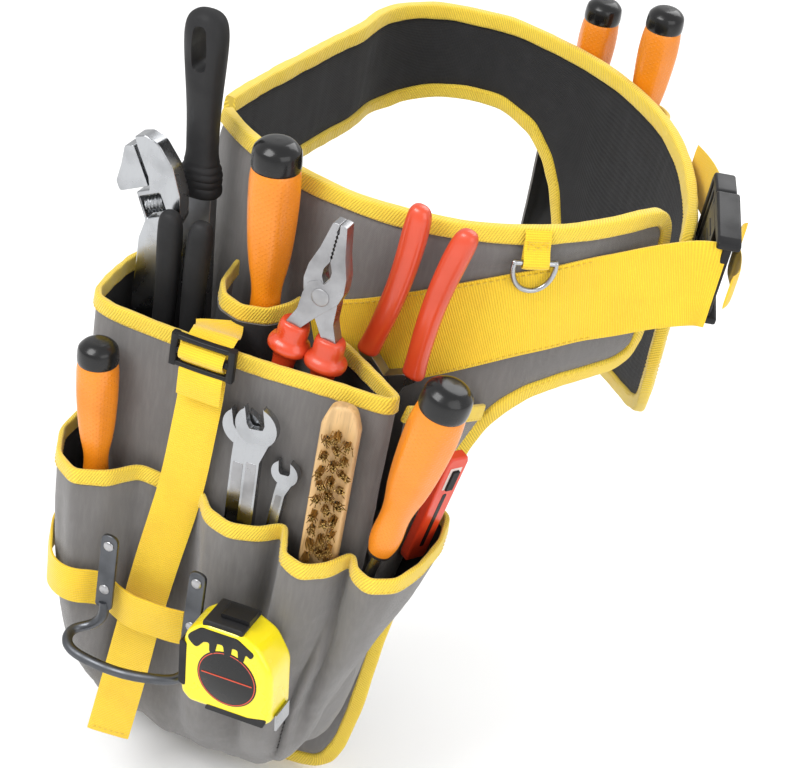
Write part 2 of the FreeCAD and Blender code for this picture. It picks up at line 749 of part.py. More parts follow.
def screwdriver(name, place, radius_name, handle_name, blade, split=True):
    radius, tall = size(radius_name), size(handle_name)
    shape = ((0, 0), (0.42, 0), (0.5, 0.03), (0.6, 0.12), (0.55, 0.2), (0.72, 0.34), (0.98, 0.6), (1, 0.74),
             (0.9, 0.84), (0.86, 0.86), (0.9, 0.88), (0.88, 0.95), (0.7, 0.99), (0.4, 1), (0, 1))
    profile = bowed([(radius * r, tall * t) for r, t in shape], 2)
    ties = (("DistanceY", 0, len(profile) - 1, f"${handle_name}"),)
    handle = turned(f"{name}_handle", profile, ties)
    item = bind(DOC.addObject("Part::Cylinder", f"{name}_blade"), Radius="$driver_blade_radius",
                Height=str(blade))
    sunk = -blade - 0.05 if split else 2 - blade
    if split:
        keep(handle, f"{name}_handle", place)
        keep(item, f"{name}_blade", place * Placement(Vector(0, 0, sunk), Rotation()))
        return
    item.Placement = Placement(Vector(0, 0, sunk), Rotation())
    whole = DOC.addObject("Part::Fuse", name)
    whole.Base = handle
    whole.Tool = item
    keep(whole, name, place)


def screwdrivers():
    screwdriver("left_screwdriver", upright((-139, -239, -168), -0.07, 0), "driver_radius",
                "driver_handle", 90)
    screwdriver("centre_screwdriver", upright((-66, -177.5, -52), -0.06, 0), "big_driver_radius",
                "big_driver_handle", 105)
    screwdriver("right_screwdriver", upright((52.5, -229, -134), 0.18, 0), "big_driver_radius",
                "big_driver_handle", 45)
    screwdriver("rear_left_screwdriver", upright((14, 163.5, -22)), "driver_radius", "driver_handle", 70,
                False)
    screwdriver("rear_right_screwdriver", upright((64.5, 138.5, -4)), "driver_radius", "driver_handle",
                78, False)


def half_pliers(name, side, jaw, spread, neck, place, gap):
    """One half of a pair: its jaw on one side, its tang on the other, lapped at the pivot."""
    pivot = size("pliers_pivot_radius")
    body = new_body(name)
    corners = [(gap, 9), (gap, jaw), (gap + 4, jaw), (12, jaw * 0.45), (13, 10), (11, 0), (0.5, -13),
               (-spread + 6, -neck), (-spread - 4, -neck), (-spread * 0.55 - 4, -14), (-11, -2), (-9, 7),
               (-3, 11)]
    corners = [(x * side, y) for x, y in corners]
    sketch = outline(body, f"{name}_outline", "XZ_Plane", corners,
                     (("DistanceY", 1, 0, f"9 - {jaw}"),))
    pad_feature(body, f"{name}_plate", sketch, "$pliers_thickness")
    DOC.recompute()
    lap = body.newObject("Sketcher::SketchObject", f"{name}_lap")
    lap.AttachmentSupport = [(plane(body, "XZ_Plane"), "")]
    lap.MapMode = "FlatFace"
    lap.addGeometry(Part.Circle(Vector(0, 0, 0), Vector(0, 0, 1), pivot + 3.2), False)
    index = lap.addConstraint(Sketcher.Constraint("Radius", 0, pivot + 3.2))
    lap.renameConstraint(index, "lap")
    lap.setExpression("Constraints.lap", "sizes.pliers_pivot_radius + 3.2")
    pocket = body.newObject("PartDesign::Pocket", f"{name}_lap_cut")
    pocket.Profile = lap
    pocket.Reversed = side < 0
    bind(pocket, Length="$pliers_thickness")
    lap.AttachmentOffset = Placement(Vector(0, 0, 0.15 * (1 if side > 0 else -1)), Rotation())
    keep(body, name, place)


def grip(name, place, foot, lean, guarded):
    """A dipped grip round a tang."""
    radius, tall, collar = size("grip_radius"), size("grip_length"), size("guard_radius")
    if guarded:
        shape = [(0, 0), (collar * 0.8, 0), (collar + 1.5, -5), (collar + 2, -14), (collar - 1, -19),
                 (radius, -24),
                 (radius + 0.8, -60), (radius, -tall + 6), (radius * 0.6, -tall), (0, -tall)]
    else:
        shape = [(0, 0), (radius * 0.8, 0), (radius, -6), (radius, -40), (radius + 0.6, -70),
                 (radius, -tall + 6),
                 (radius * 0.6, -tall), (0, -tall)]
    here = place * Placement(Vector(foot[0], 0, foot[1]), Rotation(Vector(0, 1, 0), lean))
    profile = bowed(shape, 2)
    keep(turned(name, profile, (("DistanceY", 0, len(profile) - 1, "-$grip_length"),)), name, here)


def pliers(name, place, jaw, spread, neck, lean, guarded, mover):
    """A pair of pliers; the mover is the side its moving half has its jaw on."""
    half_pliers(f"{name}_half", -mover, jaw, spread, neck, place, 0.2)
    half_pliers(f"{name}_moving_half", mover, jaw, spread, neck, place, 0.2)
    foot = spread - 1
    grip(f"{name}_grip", place, (foot * mover, -neck - 0.1), -lean * mover, guarded)
    grip(f"{name}_moving_grip", place, (-foot * mover, -neck - 0.1), lean * mover, guarded)


COMBINATION_PLIERS = upright((-19, -207, 12), 0.1, 0)
LONG_PLIERS = upright((14, -171, -62), 0.16, 0) * Placement(Vector(), Rotation(Vector(0, 1, 0), 180))
CUTTER = upright((-121.5, -184, -110), -0.02, 0) * Placement(Vector(), Rotation(Vector(0, 1, 0), 180))


def all_pliers():
    pliers("combination_pliers", COMBINATION_PLIERS, 51, 13, 26, 2, True, 1)
    pliers("long_pliers", LONG_PLIERS, 44, 17, 22, 0, False, 1)
    pliers("cutter", CUTTER, 40, 12, 16, 0, False, -1)


WRENCH = upright((-152, -169.5, 7), 0.0, 0)
WRENCH_HEAD_TURN = 28


def headed(points):
    """Points of the wrench's head, which is set over to the left of its handle."""
    turn = math.radians(WRENCH_HEAD_TURN)
    return [(x * math.cos(turn) - y * math.sin(turn), x * math.sin(turn) + y * math.cos(turn)) for x,
            y in points]


def wrench():
    """An adjustable wrench, head up: a fixed jaw, a sliding jaw and the worm that moves it."""
    tall = size("wrench_handle")
    body = new_body("wrench_body")
    mouth = [(13, 46), (5, 46), (4.2, 40), (4.2, 20), (2, 12), (-8, 12), (-9, -7)]
    outside = [(16, -11), (21, 4), (23, 22), (20, 38)]
    corners = headed(mouth) + [(-8, -24), (-9, -tall), (9, -tall), (10, -26)] + headed(outside)
    sketch = outline(body, "wrench_outline", "XZ_Plane", corners, (("DistanceX", 8, 9, "18"),))
    pad_feature(body, "wrench_plate", sketch, "$wrench_thickness")
    DOC.recompute()
    window = outline(body, "wrench_window", "XZ_Plane", headed([(-6.5, -6), (9, -6), (9, 8.5),
                                                                (-6.5, 8.5)]))
    pocket = body.newObject("PartDesign::Pocket", "wrench_worm_window")
    pocket.Profile = window
    pocket.Midplane = True
    pocket.Type = 1
    keep(body, "wrench_body", WRENCH)
    jaw = new_body("wrench_jaw")
    corners = headed([(-20, 14), (1.5, 14), (1.5, 40), (-4, 42), (-13, 29), (-20, 20)])
    sketch = outline(jaw, "wrench_jaw_outline", "XZ_Plane", corners)
    pad_feature(jaw, "wrench_jaw_plate", sketch, "$wrench_thickness - 1")
    keep(jaw, "wrench_jaw", WRENCH)
    worm = bind(DOC.addObject("Part::Cylinder", "wrench_worm"), Radius="$worm_radius",
                Height="$worm_length")
    head = Placement(Vector(), Rotation(Vector(0, 1, 0), -WRENCH_HEAD_TURN))
    keep(worm, "wrench_worm", WRENCH * head * Placement(Vector(-5.2, 0, 1.2),
                                                        Rotation(Vector(0, 1, 0), 90)))


BAR = upright((-135, -146, 11), -0.079, 0)


def pry_bar():
    """A flat bar with a grip that has a hanging hole."""
    radius, tall = size("bar_grip_radius"), size("bar_grip_length")
    shape = [(0, 0), (radius * 0.95, 0), (radius, 3), (radius * 0.95, 14), (radius * 0.72, 26),
             (radius * 0.62, 50),
             (radius * 0.74, 84), (radius * 0.98, 104), (radius * 0.85, 117), (radius * 0.45, tall),
             (0, tall)]
    profile = bowed(shape, 2)
    body = turned("pry_bar_grip", profile, (("DistanceY", 0, len(profile) - 1, "$bar_grip_length"),))
    DOC.recompute()
    hole = outline(body, "pry_bar_hole", "XZ_Plane", [(-4, 88), (4, 88), (5, 94), (5, 102), (3, 110),
                                                      (-3, 110),
                                                      (-5, 102), (-5, 94)])
    pocket = body.newObject("PartDesign::Pocket", "pry_bar_hole_cut")
    pocket.Profile = hole
    pocket.Midplane = True
    pocket.Type = 1
    keep(body, "pry_bar_grip", BAR)
    length = size("bar_shank_length")
    shank = new_body("pry_bar_shank")
    corners = [(-10, -0.1), (10, -0.1), (9, -length + 30), (9, -length), (-9, -length), (-9, -length + 30)]
    sketch = outline(shank, "pry_bar_outline", "XZ_Plane", corners,
                     (("DistanceY", 0, 3, "0.1 - $bar_shank_length"),))
    pad_feature(shank, "pry_bar_plate", sketch, "9")
    keep(shank, "pry_bar_shank", BAR)


def spanner(name, place, head, shank_width, tall):
    """An open-end spanner, its visible end up."""
    body = new_body(name)
    w = shank_width / 2
    corners = [(-w, -tall), (w, -tall), (w, -head * 0.8), (head * 0.8, -head * 0.35), (head, head * 0.2),
               (head * 0.8, head * 0.8), (head * 0.42, head), (head * 0.42, head * 0.1),
               (-head * 0.42, -head * 0.1),
               (-head * 0.42, head * 0.95), (-head * 0.85, head * 0.7), (-head, head * 0.1),
               (-head * 0.7, -head * 0.5),
               (-w, -head * 0.8)]
    sketch = outline(body, f"{name}_outline", "XZ_Plane", corners)
    pad_feature(body, f"{name}_plate", sketch, "$spanner_thickness")
    keep(body, name, place)


def spanners():
    spanner("spanner_left", upright((-46.5, -232, -81), -0.02), 13.5, 10, 130)
    spanner("spanner_middle", upright((-35, -238.5, -72), -0.02), 14, 10, 130)
    spanner("spanner_right", upright((-15, -231.5, -102), 0.08), 9, 7, 90)


BRUSH = upright((16.5, -235, -170), 0.0, 0, 8)


def brush():
    """A wooden wire brush, its bristles out."""
    width, tall = size("brush_width") / 2, size("brush_length")
    body = new_body("brush_back")
    corners = [(-width * 0.7, 0), (width * 0.7, 0), (width, 16), (width, tall - 12),
               (width * 0.55, tall - 2),
               (0, tall), (-width * 0.55, tall - 2), (-width, tall - 12), (-width, 16)]
    sketch = outline(body, "brush_outline", "XZ_Plane", corners, (("DistanceY", 0, 5, "$brush_length"),))
    pad_feature(body, "brush_plate", sketch, "$brush_thickness")
    keep(body, "brush_back", BRUSH)
    tufts = []
    deep = size("bristle_length")
    for column in (-5, 5):
        for row in range(9):
            base = Vector(column, -size("brush_thickness") / 2 - 0.05, 24 + row * 10)
            tufts.append(Part.makeCone(2.2, 3, deep, base, Vector(0, -1, 0)))
    item = DOC.addObject("Part::Feature", "brush_bristles")
    item.Shape = Part.makeCompound(tufts)
    keep(item, "brush_bristles", BRUSH)


KNIFE = upright((58.5, -180.5, -166), 0.18, 0, 60)


def knife():
    """A snap-off knife with its slider up."""
    body = new_body("knife_body")
    width, tall = size("knife_width") / 2, size("knife_length")
    corners = [(-width + 3, 0), (width - 3, 0), (width, 4), (width, tall - 3), (width - 2, tall),
               (-width + 2, tall),
               (-width, tall - 3), (-width, 4)]
    sketch = outline(body, "knife_outline", "XZ_Plane", corners, (("DistanceY", 0, 4, "$knife_length"),))
    pad_feature(body, "knife_plate", sketch, "$knife_thickness")
    DOC.recompute()
    slot = outline(body, "knife_slot", "XZ_Plane", [(-3, 30), (3, 30), (3, tall - 8), (-3, tall - 8)])
    pocket = body.newObject("PartDesign::Pocket", "knife_slot_cut")
    pocket.Profile = slot
    pocket.Type = 1
    pocket.Midplane = True
    keep(body, "knife_body", KNIFE)
    slider = box("knife_slider", (-2.6, -size("knife_thickness") / 2 - 2, tall - 26), Length="5.2",
                 Width="$knife_thickness + 1", Height="16")
    keep(slider, "knife_slider", KNIFE * slider.Placement)


TAPE = Placement(Vector(-9, -279.5, -216), Rotation(Vector(0, 1, 0), -6))


def tape_measure():
    """A pocket tape measure: case, rubber cover, lock lever and the hooked end of its blade."""
    wide, tall, deep, corner = (size(f"tape_{key}") for key in ("width", "height", "depth", "corner"))
    left, right, low, high = -wide / 2, wide / 2, -tall / 2, tall / 2
    body = new_body("tape_case")
    points = [(left, low + 6), (left + 6, low), (right - 4, low), (right, low + 4),
              (right, high - corner * 1.3),
              (right - corner * 0.3, high - corner * 0.6), (right - corner, high), (left + corner, high),
              (left + corner * 0.3, high - corner * 0.5), (left, high - corner)]
    sketch = outline(body, "tape_outline", "XZ_Plane", points, (("DistanceX", 1, 2, "$tape_width - 10"),))
    pad_feature(body, "tape_plate", sketch, "$tape_depth")
    DOC.recompute()
    inside = right - 57.5
    corners = [(inside, low + 3), (right + 2, low + 3), (right + 2, low + 8), (inside, low + 8)]
    mouth = outline(body, "tape_mouth", "XZ_Plane", corners)
    pocket = body.newObject("PartDesign::Pocket", "tape_mouth_cut")
    pocket.Profile = mouth
    pocket.Midplane = True
    bind(pocket, Length="22")
    DOC.recompute()
    clip = outline(body, "tape_clip", "XY_Plane",
                   [(-9, deep / 2 - 0.5), (9, deep / 2 - 0.5), (9, deep / 2 + 1.5), (-9, deep / 2 + 1.5)])
    pad_feature(body, "tape_clip_pad", clip, "40")
    keep(body, "tape_case", TAPE)
    cover = box("tape_cover", (left + corner, -deep / 2 - 1, high + 0.05),
                Length="$tape_width - 2 * $tape_corner",
                Width="$tape_depth + 2", Height="2.5")
    keep(cover, "tape_cover", TAPE * cover.Placement)
    blade = box("tape_strip", (right - 56, -9, low + 5), Length="58", Width="18", Height="0.6")
    hook = box("tape_hook_plate", (right + 0.6, -9, low - 5), Length="1.4", Width="18", Height="12")
    piece = DOC.addObject("Part::Fuse", "tape_hook")
    piece.Base = blade
    piece.Tool = hook
    keep(piece, "tape_hook", TAPE)
    hinge_x, hinge_z = right - corner - 22.5, high + 4.2
    plate = box("tape_lever_plate", (hinge_x, -6, high + 2.7), Length="18.5", Width="12", Height="3")
    knuckle = bind(DOC.addObject("Part::Cylinder", "tape_lever_knuckle"), Radius="1.5", Height="12")
    knuckle.Placement = Placement(Vector(hinge_x, -6, hinge_z), Rotation(Vector(1, 0, 0), -90))
    lever = DOC.addObject("Part::Fuse", "tape_lever")
    lever.Base = plate
    lever.Tool = knuckle
    keep(lever, "tape_lever", TAPE)


# ---------------------------------------------------------------- build


def check_document():
    for item in DOC.Objects:
        if {"Invalid", "Error"} & set(item.State):
            raise RuntimeError(f"{item.Label} failed: {item.State}")


def write_pieces():
    os.makedirs("parts", exist_ok=True)
    for item in PIECES:
        shape = item.Shape
        if shape.isNull() or not shape.isValid() or shape.Volume < 1:
            raise RuntimeError(f"{item.Label} has no valid solid")
        shape.exportStep(f"parts/{item.Label}.step")


fill_sheet()
belt_pads()
main_pouch()
outer_pockets()
inner_pocket()
side_pocket()
pocket_bands()
rear_holster()
keep_shape(Part.makeCompound(RIMS), "pocket_bindings")
waist_webbing()
buckle()
d_ring()
closure()
hammer_loop()
screwdrivers()
all_pliers()
wrench()
pry_bar()
spanners()
brush()
knife()
tape_measure()
DOC.recompute()
check_document()
write_pieces()
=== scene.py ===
import math

import bmesh
import bpy
import numpy as np
from mathutils import Matrix, Vector


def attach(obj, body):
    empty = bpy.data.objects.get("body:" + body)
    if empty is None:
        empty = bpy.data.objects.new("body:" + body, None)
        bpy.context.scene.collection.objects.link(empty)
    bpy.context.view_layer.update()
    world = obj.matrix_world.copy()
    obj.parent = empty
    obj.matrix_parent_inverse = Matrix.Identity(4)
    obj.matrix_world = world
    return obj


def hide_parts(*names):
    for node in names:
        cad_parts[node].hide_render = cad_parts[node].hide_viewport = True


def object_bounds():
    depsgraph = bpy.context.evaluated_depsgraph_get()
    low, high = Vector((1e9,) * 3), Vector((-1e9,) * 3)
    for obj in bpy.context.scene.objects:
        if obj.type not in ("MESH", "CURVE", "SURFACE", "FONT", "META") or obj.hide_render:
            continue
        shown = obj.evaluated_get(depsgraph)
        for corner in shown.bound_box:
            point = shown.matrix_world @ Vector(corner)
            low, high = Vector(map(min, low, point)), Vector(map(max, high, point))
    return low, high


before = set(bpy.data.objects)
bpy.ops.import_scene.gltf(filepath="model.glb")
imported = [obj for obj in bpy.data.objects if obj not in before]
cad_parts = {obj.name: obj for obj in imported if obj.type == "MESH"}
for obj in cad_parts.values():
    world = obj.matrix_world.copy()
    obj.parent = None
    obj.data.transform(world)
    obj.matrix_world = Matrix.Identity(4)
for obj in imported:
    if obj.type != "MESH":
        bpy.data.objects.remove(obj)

# Looks for the waist tool belt. Shapes are worked out in millimetres and made in metres.

CAD_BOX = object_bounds()
MM = 0.001
UV = "cloth"
TAU = 2 * math.pi
SOFT = 60  # degrees: cloth folds turn less than this and are shaded smooth
HARD = 50
CREASE = 35  # degrees: moulded and forged edges sharper than this get a bevel
FOLD_RUN = 1.9  # from a binding's free edge to its stitches
PAD_UNDER = 2.5  # how far the pad reaches in under its binding
PAD_ROWS = 96
WALL_COUNT = 240
POCKET_COUNT = 320
POCKET_WALL = 1.6
POUCH_WALL = 1.8
RIM_THICK = 3.8
FLOOR = 9  # half its width, in metres
FLOOR_DROP = 0.002
SIGHT_SPOT = (0.34406, -1.14946, 0.61544)
SIGHT_WAY = (-0.25916, 0.79762, -0.54464)
SIGHT_ROLL = 11

# ---------------------------------------------------------------- numbers shared with the model

PAD = 9.0
BIND = 11.0
CLOTH = 2.5
GAP = 0.3
FRONT_ARC = (-22, 14, 170)
BACK_FACE = 175.2
FRONT_UPPER = ((0, 0), (0, 30), (1, 45), (6, 55), (15, 61), (30, 62), (60, 60), (100, 57), (150, 55),
               (200, 54),
               (250, 54), (300, 55), (342, 54))
FRONT_LOWER = ((0, 0), (0, -26), (3, -40), (10, -50), (25, -55), (45, -56), (65, -59), (85, -66), (98, -76),
               (108, -89), (116, -106), (124, -136), (130, -170), (137, -212), (144, -273), (150, -340),
               (156, -374), (163, -391), (173, -399), (186, -401), (250, -402), (342, -402))
BACK_UPPER = ((598, -20), (598, 5), (595, 20), (586, 31), (570, 36), (540, 40), (510, 46), (470, 52),
              (400, 56),
              (300, 58), (200, 57), (100, 55), (0, 54))
BACK_LOWER = ((598, -20), (597, -60), (590, -84), (578, -104), (560, -122), (530, -138), (500, -148),
              (470, -154), (440, -155), (415, -150), (395, -136), (380, -108), (371, -80), (362, -56),
              (350, -36), (332, -20), (305, -12), (277, -12), (251, -16), (211, -24), (141, -26),
              (72, -28), (0, -34))
POUCH_PLAN = ((-34, -163), (-20, -170.5), (2, -184.5), (24, -199.5), (37, -209), (42, -214), (39, -220),
              (28, -222),
              (-5, -223), (-40, -224), (-80, -224), (-120, -222), (-150, -219), (-164, -214), (-170, -205),
              (-173, -185), (-174, -160), (-169, -138), (-158, -122), (-147, -114))
POCKET_PLAN = ((60, -151), (74, -160), (80, -185), (79, -215), (73, -236), (58, -246), (45, -240),
               (38, -227.8),
               (31, -246), (18, -258), (2, -253), (-9, -228.5), (-20, -241), (-38, -248), (-57, -242),
               (-68, -228.8), (-92, -229), (-114, -228.8), (-126, -247), (-146, -257), (-165, -246),
               (-178, -222), (-179, -195), (-178.5, -172))
POUCH_LEVELS = ((-40, 1.0, 1.0, 1.0), (-120, 0.985, 1.0, 1.04), (-200, 0.955, 0.955, 1.04),
                (-280, 0.91, 0.86, 1.0),
                (-340, 0.84, 0.70, 0.9), (-372, 0.76, 0.54, 0.72), (-382, 0.7, 0.46, 0.58))
POUCH_CENTRE = (-70, -150)
BUCKLE_SPOT = Vector((162, -14, 36))
BUCKLE_TURN = Matrix.Rotation(math.radians(110), 4, "Z") @ Matrix.Rotation(math.radians(-11), 4, "Y")
BUCKLE = Matrix.Translation(BUCKLE_SPOT * MM) @ BUCKLE_TURN

# ---------------------------------------------------------------- lines


def unit(v):
    return v / np.maximum(np.linalg.norm(v, axis=-1, keepdims=True), 1e-9)


def lengths(line):
    return np.concatenate([[0], np.cumsum(np.linalg.norm(np.diff(line, axis=0), axis=1))])


def sampled(at, run, values):
    """Each column of the values, read at distances along their run."""
    return np.stack([np.interp(at, run, c) for c in values.T], axis=-1)


def resample(line, count):
    line = np.asarray(line, float)
    run = lengths(line)
    return sampled(np.linspace(0, run[-1], count), run, line)


def smooth_line(points, step=2.0):
    """A natural cubic through the points, sampled evenly."""
    p = np.asarray(points, float)
    t = lengths(p)
    h = np.diff(t)
    n = len(p)
    a = np.zeros((n, n))
    b = np.zeros_like(p)
    a[0, 0] = a[-1, -1] = 1
    for i in range(1, n - 1):
        a[i, i - 1:i + 2] = h[i - 1], 2 * (h[i - 1] + h[i]), h[i]
        b[i] = 6 * ((p[i + 1] - p[i]) / h[i] - (p[i] - p[i - 1]) / h[i - 1])
    m = np.linalg.solve(a, b)
    at = np.linspace(0, t[-1], max(int(t[-1] / (step * 0.5)), 8))
    k = np.clip(np.searchsorted(t, at, side="right") - 1, 0, n - 2)
    u = (at - t[k])[:, None]
    w = h[k][:, None]
    v = w - u
    before, after = p[k] / w - m[k] * w / 6, p[k + 1] / w - m[k + 1] * w / 6
    line = (m[k] * v**3 + m[k + 1] * u**3) / (6 * w) + before * v + after * u
    return resample(line, max(int(t[-1] / step), 8))


def rounded_line(points, step=2.0, passes=3):
    """The same polyline with its corners worn round."""
    line = resample(points, max(int(lengths(np.asarray(points, float))[-1] / step), 8))
    for _ in range(passes):
        line[1:-1] = (line[:-2] + 2 * line[1:-1] + line[2:]) / 4
    return line


def level(line, z):
    """A flat line lifted to a height."""
    return np.column_stack([line, np.full(len(line), z)])


def arc(x, y, radius, first, last, count):
    a = np.radians(np.linspace(first, last, count))
    return np.stack([x + radius * np.cos(a), y + radius * np.sin(a)], axis=1)


def shifted(points, distance):
    """A flat line moved to its left."""
    p = np.asarray(points, float)
    d = np.empty_like(p)
    d[1:-1] = p[2:] - p[:-2]
    d[0], d[-1] = p[1] - p[0], p[-1] - p[-2]
    d = unit(d)
    return p + np.stack([-d[:, 1], d[:, 0]], axis=1) * distance


def reading(line, value, pick):
    found = [a[1] + (b[1] - a[1]) * (value - a[0]) / (b[0] - a[0]) for a, b in zip(line, line[1:])
             if a[0] != b[0] and min(a[0], b[0]) <= value <= max(a[0], b[0])]
    if found:
        return pick(found)
    near = min(line, key=lambda q: abs(q[0] - value))
    return near[1]


class Course:
    """A level path that cloth follows; its left is outward."""

    def __init__(self, points):
        self.line = smooth_line(points, 1.0)
        self.run = lengths(self.line)
        self.length = self.run[-1]

    def place(self, s, out=0.0, z=0.0):
        s, out, z = np.broadcast_arrays(*(np.asarray(v, float) for v in (s, out, z)))
        x, y = (np.interp(s, self.run, c) for c in self.line.T)
        t = self.along(s)
        over = s - np.clip(s, 0, self.length)
        return np.stack([x + t[..., 0] * over - t[..., 1] * out, y + t[..., 1] * over + t[..., 0] * out,
                         z], axis=-1)

    def along(self, s):
        s = np.asarray(s, float)
        d = np.gradient(self.line, axis=0)
        t = unit(sampled(s, self.run, d))
        return np.concatenate([t, np.zeros_like(t[..., :1])], axis=-1)

    def outward(self, s):
        t = self.along(s)
        return np.stack([-t[..., 1], t[..., 0], t[..., 2]], axis=-1)


def lumps(points, size, seed, stretch=(1, 1, 1)):
    """A smooth random field from about -1 to 1 with features of a size."""
    rng = np.random.default_rng(seed)
    total = np.zeros(points.shape[:-1])
    p = points / np.asarray(stretch, float)
    for _ in range(10):
        way = unit(rng.normal(size=3)) * (TAU / size * rng.uniform(0.45, 1.1))
        total += np.sin(p @ way + rng.uniform(0, TAU))
    return total / 3.2


# ---------------------------------------------------------------- pieces


def linked(name, data):
    made = bpy.data.objects.new(name, data)
    bpy.context.scene.collection.objects.link(made)
    return made


class Piece:
    """Collects grids, sweeps and stamps into one mesh."""

    def __init__(self, name, body="belt", place=None):
        self.name, self.body, self.place = name, body, place
        self.points, self.faces, self.uvs, self.slots, self.materials = [], [], [], [], []
        self.count = 0

    def slot(self, material):
        if material not in self.materials:
            self.materials.append(material)
        return self.materials.index(material)

    def add(self, points, faces, uvs, material):
        points = np.asarray(points, float).reshape(-1, 3)
        self.points.append(points)
        index = self.slot(material) if isinstance(material, bpy.types.Material) else None
        for i, face in enumerate(faces):
            self.faces.append([int(v) + self.count for v in face])
            self.slots.append(index if index is not None else self.slot(material[i]))
        self.uvs.extend(uvs)
        self.count += len(points)

    def grid(self, points, material, closed=False, ends=None, back=None):
        """A sheet of rows and columns. Closed joins the last column to the first; ends closes the
        first and last rows: strip for a folded sheet, fan for a tube. Back is the material of the
        second half of the columns."""
        rows, columns = points.shape[:2]
        wide = columns if closed else columns - 1
        u = np.concatenate([[0], np.cumsum(np.linalg.norm(np.diff(points, axis=0), axis=2).mean(1))])
        ring = np.concatenate([points, points[:, :1]], axis=1) if closed else points
        v = np.concatenate([[0], np.cumsum(np.linalg.norm(np.diff(ring, axis=1), axis=2).mean(0))])
        i, j = (a.ravel() for a in np.meshgrid(np.arange(rows - 1), np.arange(wide), indexing="ij"))
        k = (j + 1) % columns
        faces = np.stack([i * columns + j, i * columns + k, (i + 1) * columns + k,
                          (i + 1) * columns + j], axis=1)
        corners = (i, j), (i, j + 1), (i + 1, j + 1), (i + 1, j)
        uvs = np.stack([np.stack([u[a], v[b]], axis=1) for a, b in corners], axis=1)
        faces, uvs = faces.tolist(), uvs.tolist()
        materials = [material] * len(faces)
        if back is not None:
            half = columns // 2
            materials = [back if half - 1 < b < columns - 1 else material for b in j]
        for row in (0, rows - 1) if ends else ():
            start = row * columns
            if ends == "fan":
                faces.append([start + b for b in range(columns)])
                uvs.append([[u[row], v[b]] for b in range(columns)])
                materials.append(material)
                continue
            for b in range(columns // 2 - 1):
                faces.append([start + b, start + b + 1, start + columns - 2 - b, start + columns - 1 - b])
                uvs.append([[u[row], v[b]], [u[row], v[b + 1]], [u[row] + 1, v[b + 1]], [u[row] + 1, v[b]]])
                materials.append(material)
        self.add(points, faces, uvs, materials)
        return self

    def slab(self, outer, thickness, face, back=None):
        """Cloth of a thickness behind an outer grid; a negative thickness goes the other way."""
        normal = unit(np.cross(np.gradient(outer, axis=0), np.gradient(outer, axis=1)))
        inner = outer - normal * thickness
        return self.grid(np.concatenate([outer, inner[:, ::-1]], axis=1), face, True, "strip", back)

    def sweep(self, path, side, up, section, material, ends="fan"):
        side, up = (np.broadcast_to(np.asarray(v, float), path.shape) for v in (side, up))
        section = np.asarray(section, float)
        if section.ndim == 2:
            section = np.broadcast_to(section, (len(path), *section.shape))
        points = path[:, None] + section[..., :1] * side[:, None] + section[..., 1:] * up[:, None]
        return self.grid(points, material, True, ends)

    def tube(self, path, radius, material, count=12):
        path = np.asarray(path, float)
        along = unit(np.gradient(path, axis=0))
        ref = np.array([0.0, 0.0, 1.0]) if abs(along[:, 2]).max() < 0.95 else np.array([0.31, 0.85, 0.43])
        side = unit(np.cross(along, ref))
        for n in range(1, len(side)):
            side[n] = unit(side[n - 1] - along[n] * (side[n - 1] @ along[n]))
        up = np.cross(along, side)
        a = np.linspace(0, TAU, count, endpoint=False)
        ring = np.stack([np.cos(a), np.sin(a)], axis=1)
        r = np.broadcast_to(np.asarray(radius, float), len(path))
        return self.sweep(path, side, up, ring[None] * r[:, None, None], material)

    def lathe(self, profile, material, count=40, shape=None):
        """Turned about Z from (radius, height) points; shape scales the radius by angle and height."""
        profile = np.asarray(profile, float)
        a = np.linspace(0, TAU, count, endpoint=False)
        r = profile[:, :1] * (np.ones((1, count)) if shape is None else shape(a[None], profile[:, 1:]))
        z = np.broadcast_to(profile[:, 1:], r.shape)
        return self.grid(np.stack([r * np.cos(a), r * np.sin(a), z], axis=2), material, True, "fan")

    def stamp(self, shape, faces, origins, frames, material):
        """Copies of a small shape; frames hold each copy's three axes as rows."""
        shape = np.asarray(shape, float)
        points = origins[:, None] + shape @ frames
        n = len(shape)
        every = [[v + i * n for v in face] for i in range(len(origins)) for face in faces]
        uv = [[[shape[v][0], shape[v][1]] for v in face] for face in faces] * len(origins)
        self.add(points, every, uv, material)
        return self

    def build(self, sharp=SOFT):
        points = np.concatenate(self.points)
        mesh = bpy.data.meshes.new(self.name)
        mesh.from_pydata((points * MM).tolist(), [], self.faces)
        for material in self.materials:
            mesh.materials.append(material)
        mesh.polygons.foreach_set("material_index", self.slots)
        layer = mesh.uv_layers.new(name=UV)
        layer.data.foreach_set("uv", [c for face in self.uvs for corner in face for c in corner])
        bm = bmesh.new()
        bm.from_mesh(mesh)
        bmesh.ops.recalc_face_normals(bm, faces=bm.faces)
        bm.to_mesh(mesh)
        bm.free()
        mesh.polygons.foreach_set("use_smooth", [True] * len(mesh.polygons))
        mesh.set_sharp_from_angle(angle=math.radians(sharp))
        made = linked(self.name, mesh)
        if self.place is not None:
            mesh.transform(self.place)
        mesh.update()
        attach(made, self.body)
        return made


def add_bevel(made, width, segments=3, weld=False):
    if weld:
        made.modifiers.new("weld", "WELD").merge_threshold = 0.00002
    mod = made.modifiers.new("bevel", "BEVEL")
    mod.width = width * MM
    mod.segments = segments
    mod.limit_method = "ANGLE"
    mod.angle_limit = math.radians(CREASE)
    mod.use_clamp_overlap = True
    mod.harden_normals = True
    mod.miter_outer = "MITER_ARC"


def oval(count, power, tall=1.0, shift=0.0):
    """A ring between a circle and a box: the lower the power, the squarer."""
    a = np.linspace(0, TAU, count, endpoint=False) + shift
    c, s = np.cos(a), np.sin(a)
    return np.stack([np.sign(c) * np.abs(c)**power, tall * np.sign(s) * np.abs(s)**power], axis=1)


